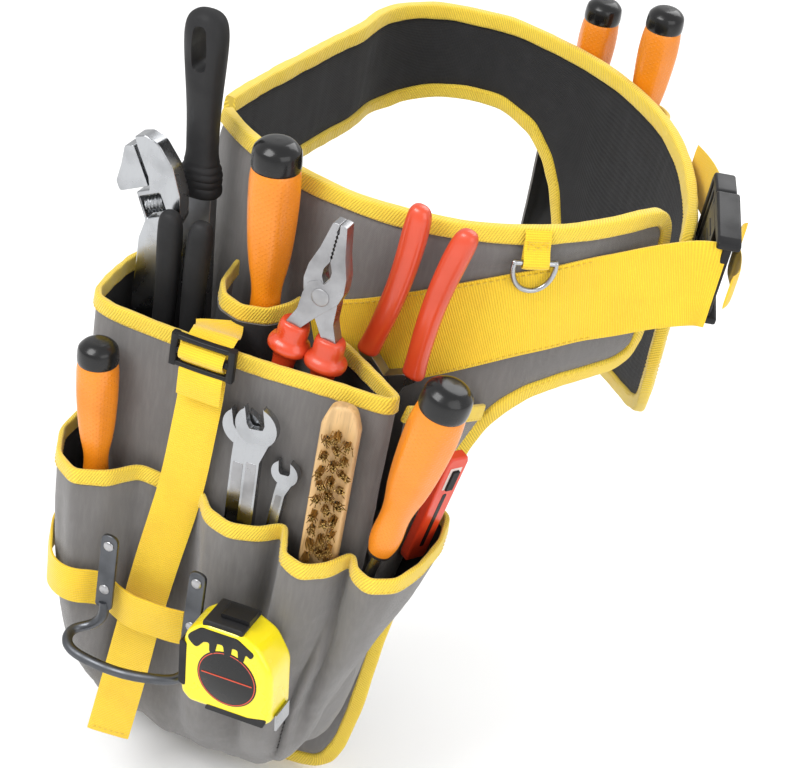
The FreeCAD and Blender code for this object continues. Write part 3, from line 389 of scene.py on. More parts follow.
def rounded_section(width, thick, count, power=0.5):
    return oval(count, power, shift=math.pi / count) * [width / 2, thick / 2]


STITCH = [(x, r * math.cos(a), 0.8 * r * math.sin(a) + h) for x, r, h in
          ((-1.35, 0.18, -0.3), (-0.8, 0.42, 0.1), (0.8, 0.42, 0.1), (1.35, 0.18, -0.3)) for a in
          (i * TAU / 6 for i in range(6))]
STITCH_FACES = [[6 * r + i, 6 * r + (i + 1) % 6, 6 * r + 6 + (i + 1) % 6, 6 * r + 6 + i] for r in range(3)
                for i in range(6)] + [[5, 4, 3, 2, 1, 0], [18, 19, 20, 21, 22, 23]]


def stitches(piece, line, up, material, pitch=3.9, scale=1.0):
    """A row of thread stitches along a line that lies on cloth."""
    line = np.asarray(line, float)
    run = lengths(line)
    at = np.arange(pitch / 2, run[-1], pitch)
    if not len(at):
        return
    along = unit(sampled(at, run, np.gradient(line, axis=0)))
    lift = unit(sampled(at, run, np.broadcast_to(np.asarray(up, float), line.shape)))
    lift = unit(lift - along * (lift * along).sum(1, keepdims=True))
    frames = np.stack([along, np.cross(lift, along), lift], axis=1) * scale
    piece.stamp(STITCH, STITCH_FACES, sampled(at, run, line), frames, material)

# ---------------------------------------------------------------- materials


class Graph:
    """Builds one node material."""

    def __init__(self, name, colour, rough, **sockets):
        self.material = bpy.data.materials.new(name)
        self.material.use_nodes = True
        self.nodes = self.material.node_tree.nodes
        self.links = self.material.node_tree.links
        self.shader = self.nodes["Principled BSDF"]
        self.shader.inputs["Base Color"].default_value = (*colour, 1)
        self.shader.inputs["Roughness"].default_value = rough
        self.material.diffuse_color = (*colour, 1)
        for key, value in sockets.items():
            self.shader.inputs[key.replace("_", " ")].default_value = value

    def node(self, kind, **inputs):
        made = self.nodes.new(kind)
        for key, value in inputs.items():
            self.feed(value, made.inputs[key.replace("_", " ")])
        return made

    def feed(self, value, socket):
        if isinstance(value, bpy.types.NodeSocket):
            self.links.new(value, socket)
        else:
            socket.default_value = value

    def math(self, operation, *values):
        made = self.nodes.new("ShaderNodeMath")
        made.operation = operation
        for value, socket in zip(values, made.inputs):
            self.feed(value, socket)
        return made.outputs[0]

    def uv(self):
        made = self.nodes.new("ShaderNodeUVMap")
        made.uv_map = UV
        split = self.node("ShaderNodeSeparateXYZ", Vector=made.outputs[0])
        return split.outputs[0], split.outputs[1]

    def place(self, scale=(1, 1, 1)):
        spot = self.node("ShaderNodeTexCoord").outputs["Object"]
        made = self.node("ShaderNodeMapping", Vector=spot)
        made.inputs["Scale"].default_value = scale
        return made.outputs[0]

    def noise(self, size, detail=3, scale=(1, 1, 1)):
        """Noise with features of a size in millimetres."""
        made = self.node("ShaderNodeTexNoise", Vector=self.place(scale), Scale=1000 / size, Detail=detail)
        return made.outputs[0]

    def spread(self, value, low, high, to_low=0.0, to_high=1.0):
        made = self.node("ShaderNodeMapRange", Value=value, From_Min=low, From_Max=high, To_Min=to_low,
                         To_Max=to_high)
        made.interpolation_type = "SMOOTHSTEP"
        return made.outputs[0]

    def mix(self, factor, a, b):
        made = self.nodes.new("ShaderNodeMix")
        made.data_type = "RGBA"
        self.feed(factor, made.inputs[0])
        for value, socket in ((a, made.inputs[6]), (b, made.inputs[7])):
            self.feed(value if isinstance(value, bpy.types.NodeSocket) else (*value, 1), socket)
        return made.outputs[2]

    def colour(self, value):
        self.links.new(value, self.shader.inputs["Base Color"])

    def rough(self, value):
        self.links.new(value, self.shader.inputs["Roughness"])

    def bump(self, height, distance, strength=1.0, onto=None):
        made = self.node("ShaderNodeBump", Height=height)
        made.inputs["Distance"].default_value = distance * MM
        made.inputs["Strength"].default_value = strength
        if onto is not None:
            self.links.new(onto, made.inputs["Normal"])
        self.links.new(made.outputs[0], self.shader.inputs["Normal"])
        return made.outputs[0]


def waves(g, value, pitch, shift=0.0):
    return g.math("SINE", g.math("MULTIPLY_ADD", value, TAU / pitch, shift))


def tint(colour, k):
    return tuple(min(c * k, 1.0) for c in colour)


def cloth(name, colour, pitch=1.0, deep=0.12, dark=0.72, sheen=0.25):
    """Coated plain weave with painted shade in its hollows and painted highlight on its raised threads,
    slubs, rubbed paler and dustier in patches.
    """
    g = Graph(name, colour, 0.82, Sheen_Weight=sheen, Sheen_Roughness=0.5)
    u, v = g.uv()
    weave = g.math("MULTIPLY", waves(g, u, pitch), waves(g, v, pitch))
    slub = g.noise(2.2, 2, (1, 1, 0.15))
    rub = g.noise(38, 4)
    # painted shade and highlight: the weave's hollows, where the bump sinks, are coloured darker and its
    # raised threads lighter
    base = g.mix(g.spread(weave, -1, 1), tint(colour, dark), tint(colour, 1.12))
    base = g.mix(g.spread(slub, 0.38, 0.72, 0, 0.35), base, tint(colour, 1.35))
    g.colour(g.mix(g.spread(rub, 0.4, 0.75, 0, 0.3), base, tint(colour, 1.4)))
    g.rough(g.spread(rub, 0.3, 0.8, 0.72, 0.92))
    rough = g.bump(g.noise(9, 4), 0.5, 0.35)
    g.bump(weave, deep, 0.6, rough)
    return g.material


def mesh_cloth(name, colour, pitch=2.4):
    """Black spacer mesh with rows of small holes, painted darker inside as shade."""
    g = Graph(name, colour, 0.95, Sheen_Weight=0.03, Sheen_Roughness=0.5)
    u, v = g.uv()
    a = g.math("ADD", u, g.math("MULTIPLY", v, 0.577))
    b = g.math("SUBTRACT", u, g.math("MULTIPLY", v, 0.577))
    holes = g.math("MULTIPLY", waves(g, a, pitch), waves(g, b, pitch))
    fuzz = g.noise(14, 4)
    # painted shade: the holes, which the bump sinks, are coloured far darker than the threads between them
    base = g.mix(g.spread(holes, 0.1, 0.9), tint(colour, 1.5), tint(colour, 0.35))
    g.colour(g.mix(g.spread(fuzz, 0.4, 0.8, 0, 0.4), base, tint(colour, 2.4)))
    g.bump(holes, -0.35, 0.7, g.bump(fuzz, 0.9, 0.4))
    return g.material


def ribbed(name, colour, pitch=1.9, slant=0.55, deep=0.25, dark=0.7):
    """Woven tape: twill ribs that slant across it, with a fine cross weave, painted shade in the grooves
    between the ribs and patches of grime.
    """
    g = Graph(name, colour, 0.75, Sheen_Weight=0.3, Sheen_Roughness=0.45)
    u, v = g.uv()
    rib = waves(g, g.math("MULTIPLY_ADD", v, slant, u), pitch)
    cross = waves(g, v, 1.1)
    both = g.math("MULTIPLY_ADD", cross, 0.35, rib)
    grime = g.noise(24, 4)
    # painted shade: the grooves between the ribs, where the bump sinks, are coloured darker by the dark
    # factor
    base = g.mix(g.spread(both, -1.3, 0.9), tint(colour, dark), colour)
    dirty = (colour[0] * 0.82, colour[1] * 0.68, colour[2] * 0.7)
    base = g.mix(g.spread(grime, 0.42, 0.78, 0, 0.3), base, dirty)
    g.colour(g.mix(g.spread(g.noise(3, 3), 0.5, 0.8, 0, 0.25), base, tint(colour, 1.15)))
    g.bump(both, deep, 0.7, g.bump(g.noise(7, 3), 0.5, 0.4))
    return g.material


def plastic(name, colour, rough=0.32, grain=0.05, dots=0, coat=0.35, gloss=0.5):
    """Moulded plastic: fine spark grain, handling scuffs and duller patches."""
    g = Graph(name, colour, rough, Coat_Weight=coat, Specular_IOR_Level=gloss, Coat_Roughness=0.12, IOR=1.5)
    scuff = g.noise(30, 5)
    fine = g.noise(1.1, 2)
    base = g.mix(g.spread(scuff, 0.35, 0.75, 0, 0.5), colour, tint(colour, 0.84))
    g.colour(g.mix(g.spread(g.noise(4, 4, (1, 1, 0.2)), 0.6, 0.8, 0, 0.3), base, tint(colour, 1.25)))
    g.rough(g.spread(scuff, 0.3, 0.75, rough * 0.8, rough * 1.5))
    normal = g.bump(fine, grain, 0.5)
    if dots:
        u, v = g.uv()
        bumps = g.math("MULTIPLY", waves(g, u, dots), waves(g, v, dots))
        g.bump(g.spread(bumps, 0.35, 1), 0.35, 0.6, normal)
    return g.material


def metal(name, colour, rough=0.2, brushed=(1, 1, 0.05), wear=0.4):
    """Plated or bare steel with lengthwise marks, smears and small nicks."""
    g = Graph(name, colour, rough, Metallic=1.0)
    lines = g.noise(0.7, 3, brushed)
    smear = g.noise(22, 4)
    base = g.mix(g.spread(smear, 0.4, 0.75, 0, wear), colour, tint(colour, 0.62))
    g.colour(g.mix(g.spread(lines, 0.55, 0.75, 0, 0.3), base, tint(colour, 0.75)))
    g.rough(g.spread(smear, 0.3, 0.75, rough * 0.7, rough * 1.8))
    g.bump(lines, 0.05, 0.35, g.bump(g.noise(5, 5), 0.05, 0.3))
    return g.material


def wood(name, colour):
    """Pale planed beech with fine pores and soft rings."""
    g = Graph(name, colour, 0.55, Coat_Weight=0.15)
    rings = g.noise(5, 4, (1, 1, 0.06))
    pores = g.noise(0.9, 2, (1, 1, 0.08))
    base = g.mix(g.spread(rings, 0.35, 0.7), tint(colour, 1.05), tint(colour, 0.72))
    g.colour(g.mix(g.spread(pores, 0.58, 0.72, 0, 0.45), base, tint(colour, 0.5)))
    g.bump(pores, 0.12, 0.5)
    return g.material


GREY = cloth("grey_cloth", (0.135, 0.128, 0.124))
GREY_DARK = cloth("grey_cloth_inner", (0.016, 0.016, 0.017), sheen=0.03)
LINING = mesh_cloth("lining_mesh", (0.010, 0.010, 0.011))
YELLOW = ribbed("binding_tape", (0.86, 0.62, 0.045))
WEBBING = ribbed("yellow_webbing", (0.88, 0.58, 0.015), 1.5, 0.0, deep=0.18, dark=0.8)
THREAD = ribbed("yellow_thread", (0.80, 0.55, 0.04), 0.8, 1.0, deep=0.1)
ORANGE = plastic("orange_handle", (0.76, 0.225, 0.005), 0.36, 0.06, 3.4, coat=0.2)
RED = plastic("red_grip", (0.60, 0.055, 0.014), 0.34, 0.05, coat=0.4)
KNIFE_RED = plastic("knife_red", (0.66, 0.045, 0.012), 0.34, 0.05)
LABEL = plastic("blank_label", (0.72, 0.62, 0.58), 0.5, 0.03, coat=0.1)
BLACK_GLOSS = plastic("black_cap", (0.006, 0.006, 0.0065), 0.24, 0.04, coat=0.22, gloss=0.3)
BLACK = plastic("black_moulding", (0.008, 0.008, 0.009), 0.42, 0.08, coat=0.03, gloss=0.28)
RUBBER = plastic("black_rubber", (0.015, 0.015, 0.016), 0.55, 0.15, coat=0.02, gloss=0.28)
LEMON = plastic("tape_yellow", (0.86, 0.70, 0.006), 0.25, 0.04, coat=0.5)
CHROME = metal("chrome", (0.40, 0.41, 0.425), 0.22)
STEEL = metal("satin_steel", (0.40, 0.40, 0.41), 0.32)
SATIN = metal("plier_steel", (0.34, 0.34, 0.35), 0.3, (1, 1, 0.1), 0.6)
GUNMETAL = metal("dark_steel", (0.11, 0.115, 0.125), 0.38)
BRASS = metal("brass_wire", (0.46, 0.30, 0.10), 0.34)
WOOD = wood("beech", (0.62, 0.40, 0.18))

# ---------------------------------------------------------------- belt pads

FRONT = Course(arc(*FRONT_ARC, -19.5, -135, 15))
BACK = Course(np.concatenate([
    [(-148, -92), (-147, -70), (-143, -30), (-138, 10), (-133, 45), (-129, 70)],
    arc(-67, 91, 62, 170, 95, 5), arc(-66, -60, 217, 86, 7, 11)]))


def edges(upper, lower, spots, inset, inward):
    """Top and bottom of a pad at each distance, held in from its bound edge."""
    high = rounded_line(shifted(upper, inset * inward), 1.0, 4)
    low = rounded_line(shifted(lower, -inset * inward), 1.0, 4)
    top = np.array([reading(high, s, max) for s in spots])
    bottom = np.array([reading(low, s, min) for s in spots])
    return bottom, top


def pad(name, course, upper, lower, first, last, inward, lining_low, seed, seams):
    """A padded panel: grey cloth outside, black mesh inside, full between its seams."""
    inset = BIND - PAD_UNDER
    spots = np.linspace(first, last, int(abs(last - first) / 3.0))
    low, high = edges(upper, lower, spots, inset, inward)
    t = np.linspace(0, 1, PAD_ROWS)[None]
    s = np.broadcast_to(spots[:, None], (len(spots), PAD_ROWS))
    z = low[:, None] + (high - low)[:, None] * t
    near = np.minimum(np.minimum(z - low[:, None], high[:, None] - z), np.abs(s - first) + 0.2)
    full = 1 - np.exp(-np.maximum(near, 0) / 4.5)
    flat = np.stack([s, z, z * 0], axis=-1)
    wave = lumps(flat, 46, seed, (1, 1.6, 1)) * 0.9 + lumps(flat, 15, seed + 1, (1, 2.2, 1)) * 0.22
    swell = full * (PAD / 2 - 0.6) + 0.5 + full * wave * 0.55
    for line, wide, deep in seams:
        swell -= deep * np.exp(-(line(s, z) / wide) ** 2) * full
    outer = course.place(s, swell, z)
    pull = 1 / (1 + np.exp(-(z - lining_low) / 2.5))
    ripple = lumps(flat, 30, seed + 2, (1, 2.6, 1)) * 0.7 + lumps(flat, 11, seed + 3, (0.8, 2.5, 1)) * 0.25
    inner = course.place(s, -(0.5 + full * (PAD / 2 - 1.0 + ripple * 0.6) * pull), z)
    piece = Piece(name)
    piece.grid(np.concatenate([outer, inner[:, ::-1]], axis=1), GREY, True, "strip", LINING)
    return piece.build()


def edge_tape(name, course, upper, lower, inward, seed):
    """Binding folded round a pad's edge, stitched through on both faces."""
    outline = rounded_line(list(upper[::-1]) + list(lower[1:]), 2.2, 5)
    middle = shifted(outline, (BIND / 2 - 0.2) * inward)
    s, z = middle.T
    step = np.gradient(middle, axis=0)
    along = course.along(s) * step[:, :1]
    along[:, 2] = step[:, 1]
    along = unit(along)
    up = course.outward(s)
    side = unit(np.cross(up, along)) * inward
    path = course.place(s, 0, z)
    n = len(path)
    flat = np.stack([np.arange(n) * 2.2, s * 0, s * 0], axis=-1)
    section = np.broadcast_to(rounded_section(BIND, 8.6, 22, 0.42), (n, 22, 2)).copy()
    taper = 1 - 0.13 * (section[..., 0] / (BIND / 2))
    uneven = 0.045 * lumps(flat, 16, seed)[:, None] + 0.03 * lumps(flat, 7, seed + 9)[:, None]
    section[..., 1] *= taper + uneven
    section[..., 0] *= 1 + 0.04 * lumps(flat, 24, seed + 1)[:, None]
    piece = Piece(name)
    piece.sweep(path, side, up, section, YELLOW)
    for face in (1, -1):
        inner_edge = path - side * (BIND / 2 - FOLD_RUN) + up * (4.35 * face)
        stitches(piece, inner_edge, up * face, THREAD)
    return piece.build()


def webbing_middle(s, z):
    """Distance from the waist webbing's sewn edges, for the dents they pull in the pad."""
    line = np.interp(s - 10, [0, 60, 110, 150, 200, 260], [22, 10, 0, -12, -30, -50])
    return np.minimum(np.abs(z - line - 31), np.abs(z - line + 31))


front_pad = pad("front_pad", FRONT, FRONT_UPPER, FRONT_LOWER, 8.5, 341, -1, -52, 3,
                [(webbing_middle, 3.0, 0.9)])
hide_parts("front_panel", "front_lining")
back_pad = pad("back_pad_cover", BACK, BACK_UPPER, BACK_LOWER, 589.5, 3, 1, -400, 11, [])
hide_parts("back_pad", "back_lining")
front_edge = edge_tape("front_edge_tape", FRONT, FRONT_UPPER, FRONT_LOWER, 1, 21)
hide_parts("front_binding")
back_edge = edge_tape("back_edge_tape", BACK, BACK_UPPER, BACK_LOWER, -1, 22)
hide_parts("back_binding")

# ---------------------------------------------------------------- pouch


def back_face(x, outward=0.0):
    radius = BACK_FACE + outward
    run = np.clip(np.asarray(x, float) - FRONT_ARC[0], -radius, radius)
    return FRONT_ARC[1] - np.sqrt(radius**2 - run**2)


def rim_height(x):
    return -42 + (np.asarray(x, float) + 160) * 0.05


LEVELS = smooth_line([(level[0], *(k * 100 for k in level[1:])) for level in POUCH_LEVELS], 2.0)[::-1]


def pouch_scale(z):
    return tuple(np.interp(z, LEVELS[:, 0], LEVELS[:, k]) / 100 for k in (1, 2, 3))


def drawn_in(plan, z, outward=0.0):
    plan = np.asarray(plan, float)
    left, right, depth = pouch_scale(z)
    wide = np.where(plan[:, 0] < POUCH_CENTRE[0], left, right)
    x = POUCH_CENTRE[0] + (plan[:, 0] - POUCH_CENTRE[0]) * wide
    y = POUCH_CENTRE[1] + (plan[:, 1] - POUCH_CENTRE[1]) * depth
    return np.stack([x, np.minimum(y, back_face(x, outward) - 0.6)], axis=1)


def wall_line(z):
    return resample(rounded_line(drawn_in(POUCH_PLAN, z), 1.5, 6), WALL_COUNT)


def relief(points, out, seed, amount):
    """Soft vertical folds and small creases pushed out of a sheet."""
    folds = lumps(points, 42, seed, (1, 1, 4.5)) * 1.5 + lumps(points, 17, seed + 1, (1, 1, 3.2)) * 0.5
    creases = lumps(points, 9, seed + 2, (1.4, 1.4, 1)) * 0.12
    return points + out * ((folds + creases) * amount)[..., None]


def grid_out(points, probe, way):
    """A sheet's normals, turned so that the one at the probe (row, column, axis) has the sign of way."""
    out = unit(np.cross(np.gradient(points, axis=0), np.gradient(points, axis=1)))
    turned = way * np.sign(out[probe])
    return out * turned, turned


def sheet(name, grid, thick, probe, way, seed, amount):
    """Grey cloth with folds; gives back its grid too."""
    grid = relief(grid, grid_out(grid, probe, way)[0], seed, amount)
    piece = Piece(name)
    piece.slab(grid, thick * grid_out(grid, probe, way)[1], GREY, GREY_DARK)
    return grid, piece.build()


def towards_ends(count, run):
    """0 at both ends of a row and 1 from run points in."""
    return np.clip(np.minimum(np.arange(count), np.arange(count)[::-1])[None] / run, 0, 1)


def main_pouch():
    levels = np.concatenate([np.linspace(0, 1, 12) * -84 - 46, np.linspace(-134, -368, 60),
                             np.linspace(-371, -382, 7)])
    grid = np.stack([level(wall_line(z), z) for z in levels])
    top = np.linspace(1, 0, 12)[:, None]
    grid[:12, :, 2] += (rim_height(grid[:12, :, 0]) - 8 + 46) * top
    low = grid[-1]
    under = [np.column_stack([low[:, 0], low[:, 1] + (back_face(low[:, 0]) - 0.8 - low[:, 1]) * k,
                              low[:, 2] - 1.5 * math.sin(k * math.pi)]) for k in np.linspace(0.1, 1, 9)]
    grid = np.concatenate([grid, np.stack(under)])
    z = grid[..., 2]
    low_folds = 1 + np.clip((-300 - z) / 60, 0, 1) * 0.7
    amount = np.clip((-42 - z) / 60, 0, 1) * towards_ends(WALL_COUNT, 12) * low_folds
    amount[-9:] *= 0.3
    made = sheet("pouch_wall", grid, POUCH_WALL, (20, 120, 1), -1, 31, amount)[1]
    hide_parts("main_pouch")


def rim_tape(name, line, top, thick, seed, tall=BIND):
    """Binding folded over a pocket's rim, its top edge at a height, stitched along its foot."""
    line = np.asarray(line, float)
    n = len(line)
    run = lengths(line)
    flat = np.stack([run, run * 0, run * 0], axis=-1)
    height = top - tall / 2 + lumps(flat, 60, seed + 4) * 0.5
    path = np.column_stack([line, height])
    along = unit(np.gradient(path, axis=0))
    side = unit(np.stack([-along[:, 1], along[:, 0], along[:, 0] * 0], axis=1))
    up = unit(np.cross(side, along))
    up *= np.sign(up[:, 2:])
    section = np.broadcast_to(rounded_section(thick, tall, 20, 0.4), (n, 20, 2)).copy()
    section[..., 0] *= 1 + 0.10 * lumps(flat, 12, seed)[:, None] - 0.12 * (section[..., 1] / (tall / 2))
    section[..., 1] *= 1 + 0.03 * lumps(flat, 22, seed + 1)[:, None]
    piece = Piece(name)
    piece.sweep(path, side, up, section, YELLOW)
    for face in (1, -1):
        stitches(piece, path - up * (tall / 2 - FOLD_RUN) + side * (thick / 2 * 1.06 * face),
                 side * face, THREAD)
    return piece


main_pouch()
rim = shifted(wall_line(-44), -1.2)[3:-3]
made = rim_tape("pouch_rim_tape", rim, rim_height(rim[:, 0]), 4.6, 41).build()
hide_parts("main_pouch_binding")

# outer pockets: their swell dies away down the pouch
SHEET_LEVELS = ((-151.3, 1.0), (-200, 0.97), (-250, 0.92), (-300, 0.75), (-335, 0.4), (-356, 0.06))


def pocket_rows(levels):
    """The outer pockets' plan at each height, drawn to the pouch wall by how little it swells there."""
    rows = []
    for z, swell in levels:
        base = wall_line(z)
        scaled = drawn_in(POCKET_PLAN, z, 4)
        near = np.array([np.argmin(np.linalg.norm(base - p, axis=1)) for p in scaled])
        foot = shifted(base, CLOTH + 0.6)[near]
        line = foot + (scaled - foot) * swell
        rows.append(level(resample(rounded_line(line, 1.5, 12), POCKET_COUNT), z))
    return np.stack(rows)


def outer_pockets():
    z = np.concatenate([np.linspace(-151, -330, 46), np.linspace(-334, -366, 10)])
    table = smooth_line([(a, b * 100) for a, b in SHEET_LEVELS], 2)[::-1]
    swell = np.clip(np.interp(z, table[:, 0], table[:, 1] / 100), 0.02, 1)
    grid = pocket_rows(zip(z, swell))
    heights = [-366, -335, -300, -250, -200, -160, -151]
    close = np.interp(z, heights, [0.02, 0.1, 0.2, 0.42, 0.72, 0.96, 1]) * swell
    tight = pocket_rows(zip(z, np.clip(close, 0.02, 1)))
    share = np.clip((grid[..., :1] - 5) / 45, 0, 1)
    grid = grid + (tight - grid) * share
    amount = np.clip((-152 - grid[..., 2]) / 30, 0, 1) * towards_ends(POCKET_COUNT, 10) * 1.05
    grid, made = sheet("outer_pocket_cloth", grid, POCKET_WALL, (10, 160, 1), -1, 51, amount)
    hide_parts("outer_pockets")
    return shifted(grid[0, :, :2], -0.9)


RIM_PIECES = [("outer_rim_tape", outer_pockets(), -151.3 + GAP + BIND, RIM_THICK, 61)]


def inner_pocket():
    plan = np.array([(-49, -165.5), (-51, -177), (-59, -190.5), (-75, -197), (-90, -192), (-98, -179),
                     (-102, -152)])
    rows = []
    for z, swell in ((-34, 1.0), (-60, 1.0), (-90, 1.0), (-120, 0.98), (-150, 0.94), (-168, 0.78),
                     (-182, 0.6),
                     (-192, 0.35), (-200, 0.15)):
        line = np.column_stack([plan[:, 0], back_face(plan[:, 0]) - 5.2])
        line[:, 1] += (plan[:, 1] - line[:, 1]) * swell
        rows.append(level(resample(rounded_line(line, 1.5, 5), 70), z))
    grid = np.stack(rows)
    piece = Piece("inner_pocket_cloth")
    piece.slab(grid, POCKET_WALL, GREY, GREY_DARK)
    made = piece.build()
    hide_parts("inner_pocket")
    return shifted(grid[0, :, :2], -0.9)


RIM_PIECES.append(("inner_rim_tape", inner_pocket(), -34 + GAP + BIND, RIM_THICK, 62))


def side_line(z):
    back_x = np.interp(z, [-350, -330, -280, -220, -160, -110, -60], [21, 26, 33, 40, 48, 60, 72])
    _, right, depth = pouch_scale(z)
    front_x = POUCH_CENTRE[0] + (46 - POUCH_CENTRE[0]) * right
    front_y = POUCH_CENTRE[1] + (-208 - POUCH_CENTRE[1]) * depth
    back_y = back_face(back_x) - 4
    k = np.array([0, 0.3, 0.6, 0.85, 1])
    out = np.array([0, 4, 5, 2.5, 0])
    line = np.column_stack([back_x + (front_x - back_x) * k + out, back_y + (front_y - back_y) * k + out])
    return resample(rounded_line(line, 1.5, 5), 60)


def side_rim(y):
    return -69 + 29 * (np.asarray(y) + 135) / -76


def side_pocket():
    grid = np.stack([level(side_line(z), z) for z in np.linspace(-60, -350, 50)])
    top = np.clip((grid[..., 2] + 110) / 50, 0, 1)
    grid[..., 2] += (side_rim(grid[..., 1]) - 8 + 60) * top
    amount = np.clip((-80 - grid[..., 2]) / 40, 0, 1) * 0.6
    made = sheet("side_pocket_cloth", grid, POCKET_WALL, (20, 30, 0), 1, 71, amount)[1]
    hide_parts("side_pocket")
    return shifted(side_line(-60), -0.9)


side = side_pocket()
RIM_PIECES.append(("side_rim_tape", side, side_rim(side[:, 1]), RIM_THICK, 63))


def rear_holster():
    plan = np.array([(338, 6.4), (339, 21), (346, 34), (358, 38), (371, 34), (383.5, 22), (396, 34),
                     (409, 38),
                     (421, 34), (429, 21), (430, 6.4)])
    flat = resample(rounded_line(plan, 1.5, 5), 110)
    rows = []
    for z in np.linspace(22, -105, 36):
        swell = np.interp(z, [-105, -85, -40, 20], [0.35, 0.75, 0.97, 1.0])
        rows.append(BACK.place(flat[:, 0], 6.4 + (flat[:, 1] - 6.4) * swell, z))
    for k in (0.75, 0.5, 0.25, 0.05):
        rows.append(BACK.place(flat[:, 0], 6.4 + (flat[:, 1] - 6.4) * 0.35 * k, -105.5))
    grid = np.stack(rows)
    amount = np.clip((10 - grid[..., 2]) / 30, 0, 1) * 0.4
    grid, made = sheet("rear_holster_cloth", grid, POUCH_WALL, (10, 55, 1), 1, 81, amount)
    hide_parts("rear_holster")
    return grid[0, ::-1, :2]


RIM_PIECES.append(("rear_rim_tape", rear_holster(), 20 + GAP + BIND, RIM_THICK, 64))
for name, line, top, thick, seed in RIM_PIECES:
    made = rim_tape(name, line, top, thick, seed).build()
    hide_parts("pocket_bindings")

# ---------------------------------------------------------------- webbing


def ribbon(piece, path, side, width, thick, material, columns=13):
    """Flat webbing with rounded selvedges along a path."""
    a = np.linspace(-1, 1, columns)
    top = np.column_stack([a * width / 2, thick / 2 * (1 - 0.75 * a**6)])
    section = np.concatenate([top, np.column_stack([top[::-1, 0], -top[::-1, 1]])])
    up = unit(np.cross(unit(np.gradient(path, axis=0)), side))
    piece.sweep(path, side, up, section, material, "strip")
    return up


def box_stitch(piece, centre, along, across, up, long, wide, material=THREAD):
    """The square with a cross that sews webbing down."""
    corners = [(-1, -1), (1, -1), (1, 1), (-1, 1), (-1, -1)]
    for (a, b), (c, d) in list(zip(corners, corners[1:])) + [((-1, -1), (1, 1)), ((-1, 1), (1, -1))]:
        t = np.linspace(0, 1, 20)[:, None]
        line = centre + along * ((a + (c - a) * t) * long / 2) + across * ((b + (d - b) * t) * wide / 2)
        stitches(piece, line, up, material, 3.2, 0.85)


def waist_webbing():
    plan = np.concatenate([[(180, -63), (172, -66), (160, -71), (145, -79), (128, -90), (113, -101)],
                           arc(FRONT_ARC[0], FRONT_ARC[1], BACK_FACE + 1.2, -46, -92, 10)])
    course = Course(plan)
    line = [(0, 26), (9, 26), (23, 23), (41, 18), (62, 12), (81, 8), (100, 4), (125, -2), (150, -11),
            (175, -22),
            (200, -34), (225, -45), (245, -52)]
    middle = smooth_line(line, 2.5)
    s = np.linspace(middle[0, 0], middle[-1, 0], 110)
    z = np.interp(s, middle[:, 0], middle[:, 1])
    tilt = unit(np.column_stack([-np.gradient(z, s), np.ones_like(s)]))
    across = np.linspace(-30, 30, 30)
    flat_s = s[:, None] + across * tilt[:, :1]
    flat_z = z[:, None] + across * tilt[:, 1:]
    wave = lumps(np.stack([flat_s, flat_z, flat_s * 0], axis=-1), 70, 91) * 0.35
    free = np.clip((70 - flat_s) / 60, 0, 1)
    outer = course.place(flat_s, 0.9 - 0.5 * (np.abs(across) > 29.5) + wave * (0.4 + 2.0 * free), flat_z)
    piece = Piece("waist_webbing_cloth")
    outward = course.outward(s)[60]
    normal = np.cross(np.gradient(outer, axis=0), np.gradient(outer, axis=1))[60, 15]
    sign = 1 if normal @ outward > 0 else -1
    piece.slab(outer, 1.7 * sign, WEBBING)
    for k in (1, -2):
        stitches(piece, outer[34:, k] + course.outward(s[34:]) * 0.25, course.outward(s[34:]), THREAD)
    made = piece.build()
    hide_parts("waist_webbing")


waist_webbing()


def closure_strap():
    points = [(-86, -200, -37), (-83, -206, -37.5), (-79, -217, -34), (-76, -226, -29), (-76, -233.5, -34),
              (-76, -235.5, -50), (-77, -236.5, -90), (-81, -236.5, -140), (-88, -239, -190),
              (-94, -243, -240),
              (-99, -246, -290), (-107, -248, -356)]
    path = smooth_line(points, 2.5)
    run = lengths(path)
    along = unit(np.gradient(path, axis=0))
    turn = np.interp(run, [0, 90, 170, 260, 340], [0, 0.0, 0.10, -0.05, 0.22])
    across = unit(np.stack([np.ones_like(run), 0.1 + turn, run * 0], axis=1))
    side = unit(across - along * (across * along).sum(1, keepdims=True))
    piece = Piece("closure_strap_webbing")
    up = ribbon(piece, path, side, 29, 1.7, WEBBING)
    end = path[-1] - along[-1] * 4
    for k in (1, -1):
        line = end + np.linspace(-12, 12, 20)[:, None] * side[-1] + up[-1] * 0.9 * k
        stitches(piece, line, up[-1] * k, THREAD)
    made = piece.build()
    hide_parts("closure_strap")


closure_strap()


def pocket_band():
    """Elastic round the left pocket and a loop that keeps the strap's end down."""
    plan = drawn_in([(-58, -252.5), (-72, -255), (-92, -256.5), (-108, -254), (-122, -252), (-132, -257.5),
                     (-146, -261), (-163, -253), (-173, -238), (-182.5, -221), (-183, -196)], -215)
    line = resample(smooth_line(plan, 2), 100)
    rows = np.linspace(-215.5, -242.5, 12)
    grid = np.stack([level(line, z) for z in rows])
    grid[..., 2] += np.interp(np.linspace(0, 1, 100), [0, 0.2, 0.42, 0.6, 1], [-2.5, -4, 1, 1.5, 0])[None]
    probe = (5, 30, 1)
    grid = grid + grid_out(grid, probe, -1)[0] * (lumps(grid, 30, 95)[..., None] * 0.5)
    piece = Piece("pocket_band_elastic")
    piece.slab(grid, 1.5 * grid_out(grid, probe, -1)[1], WEBBING)
    made = piece.build()
    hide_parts("pocket_band")


pocket_band()


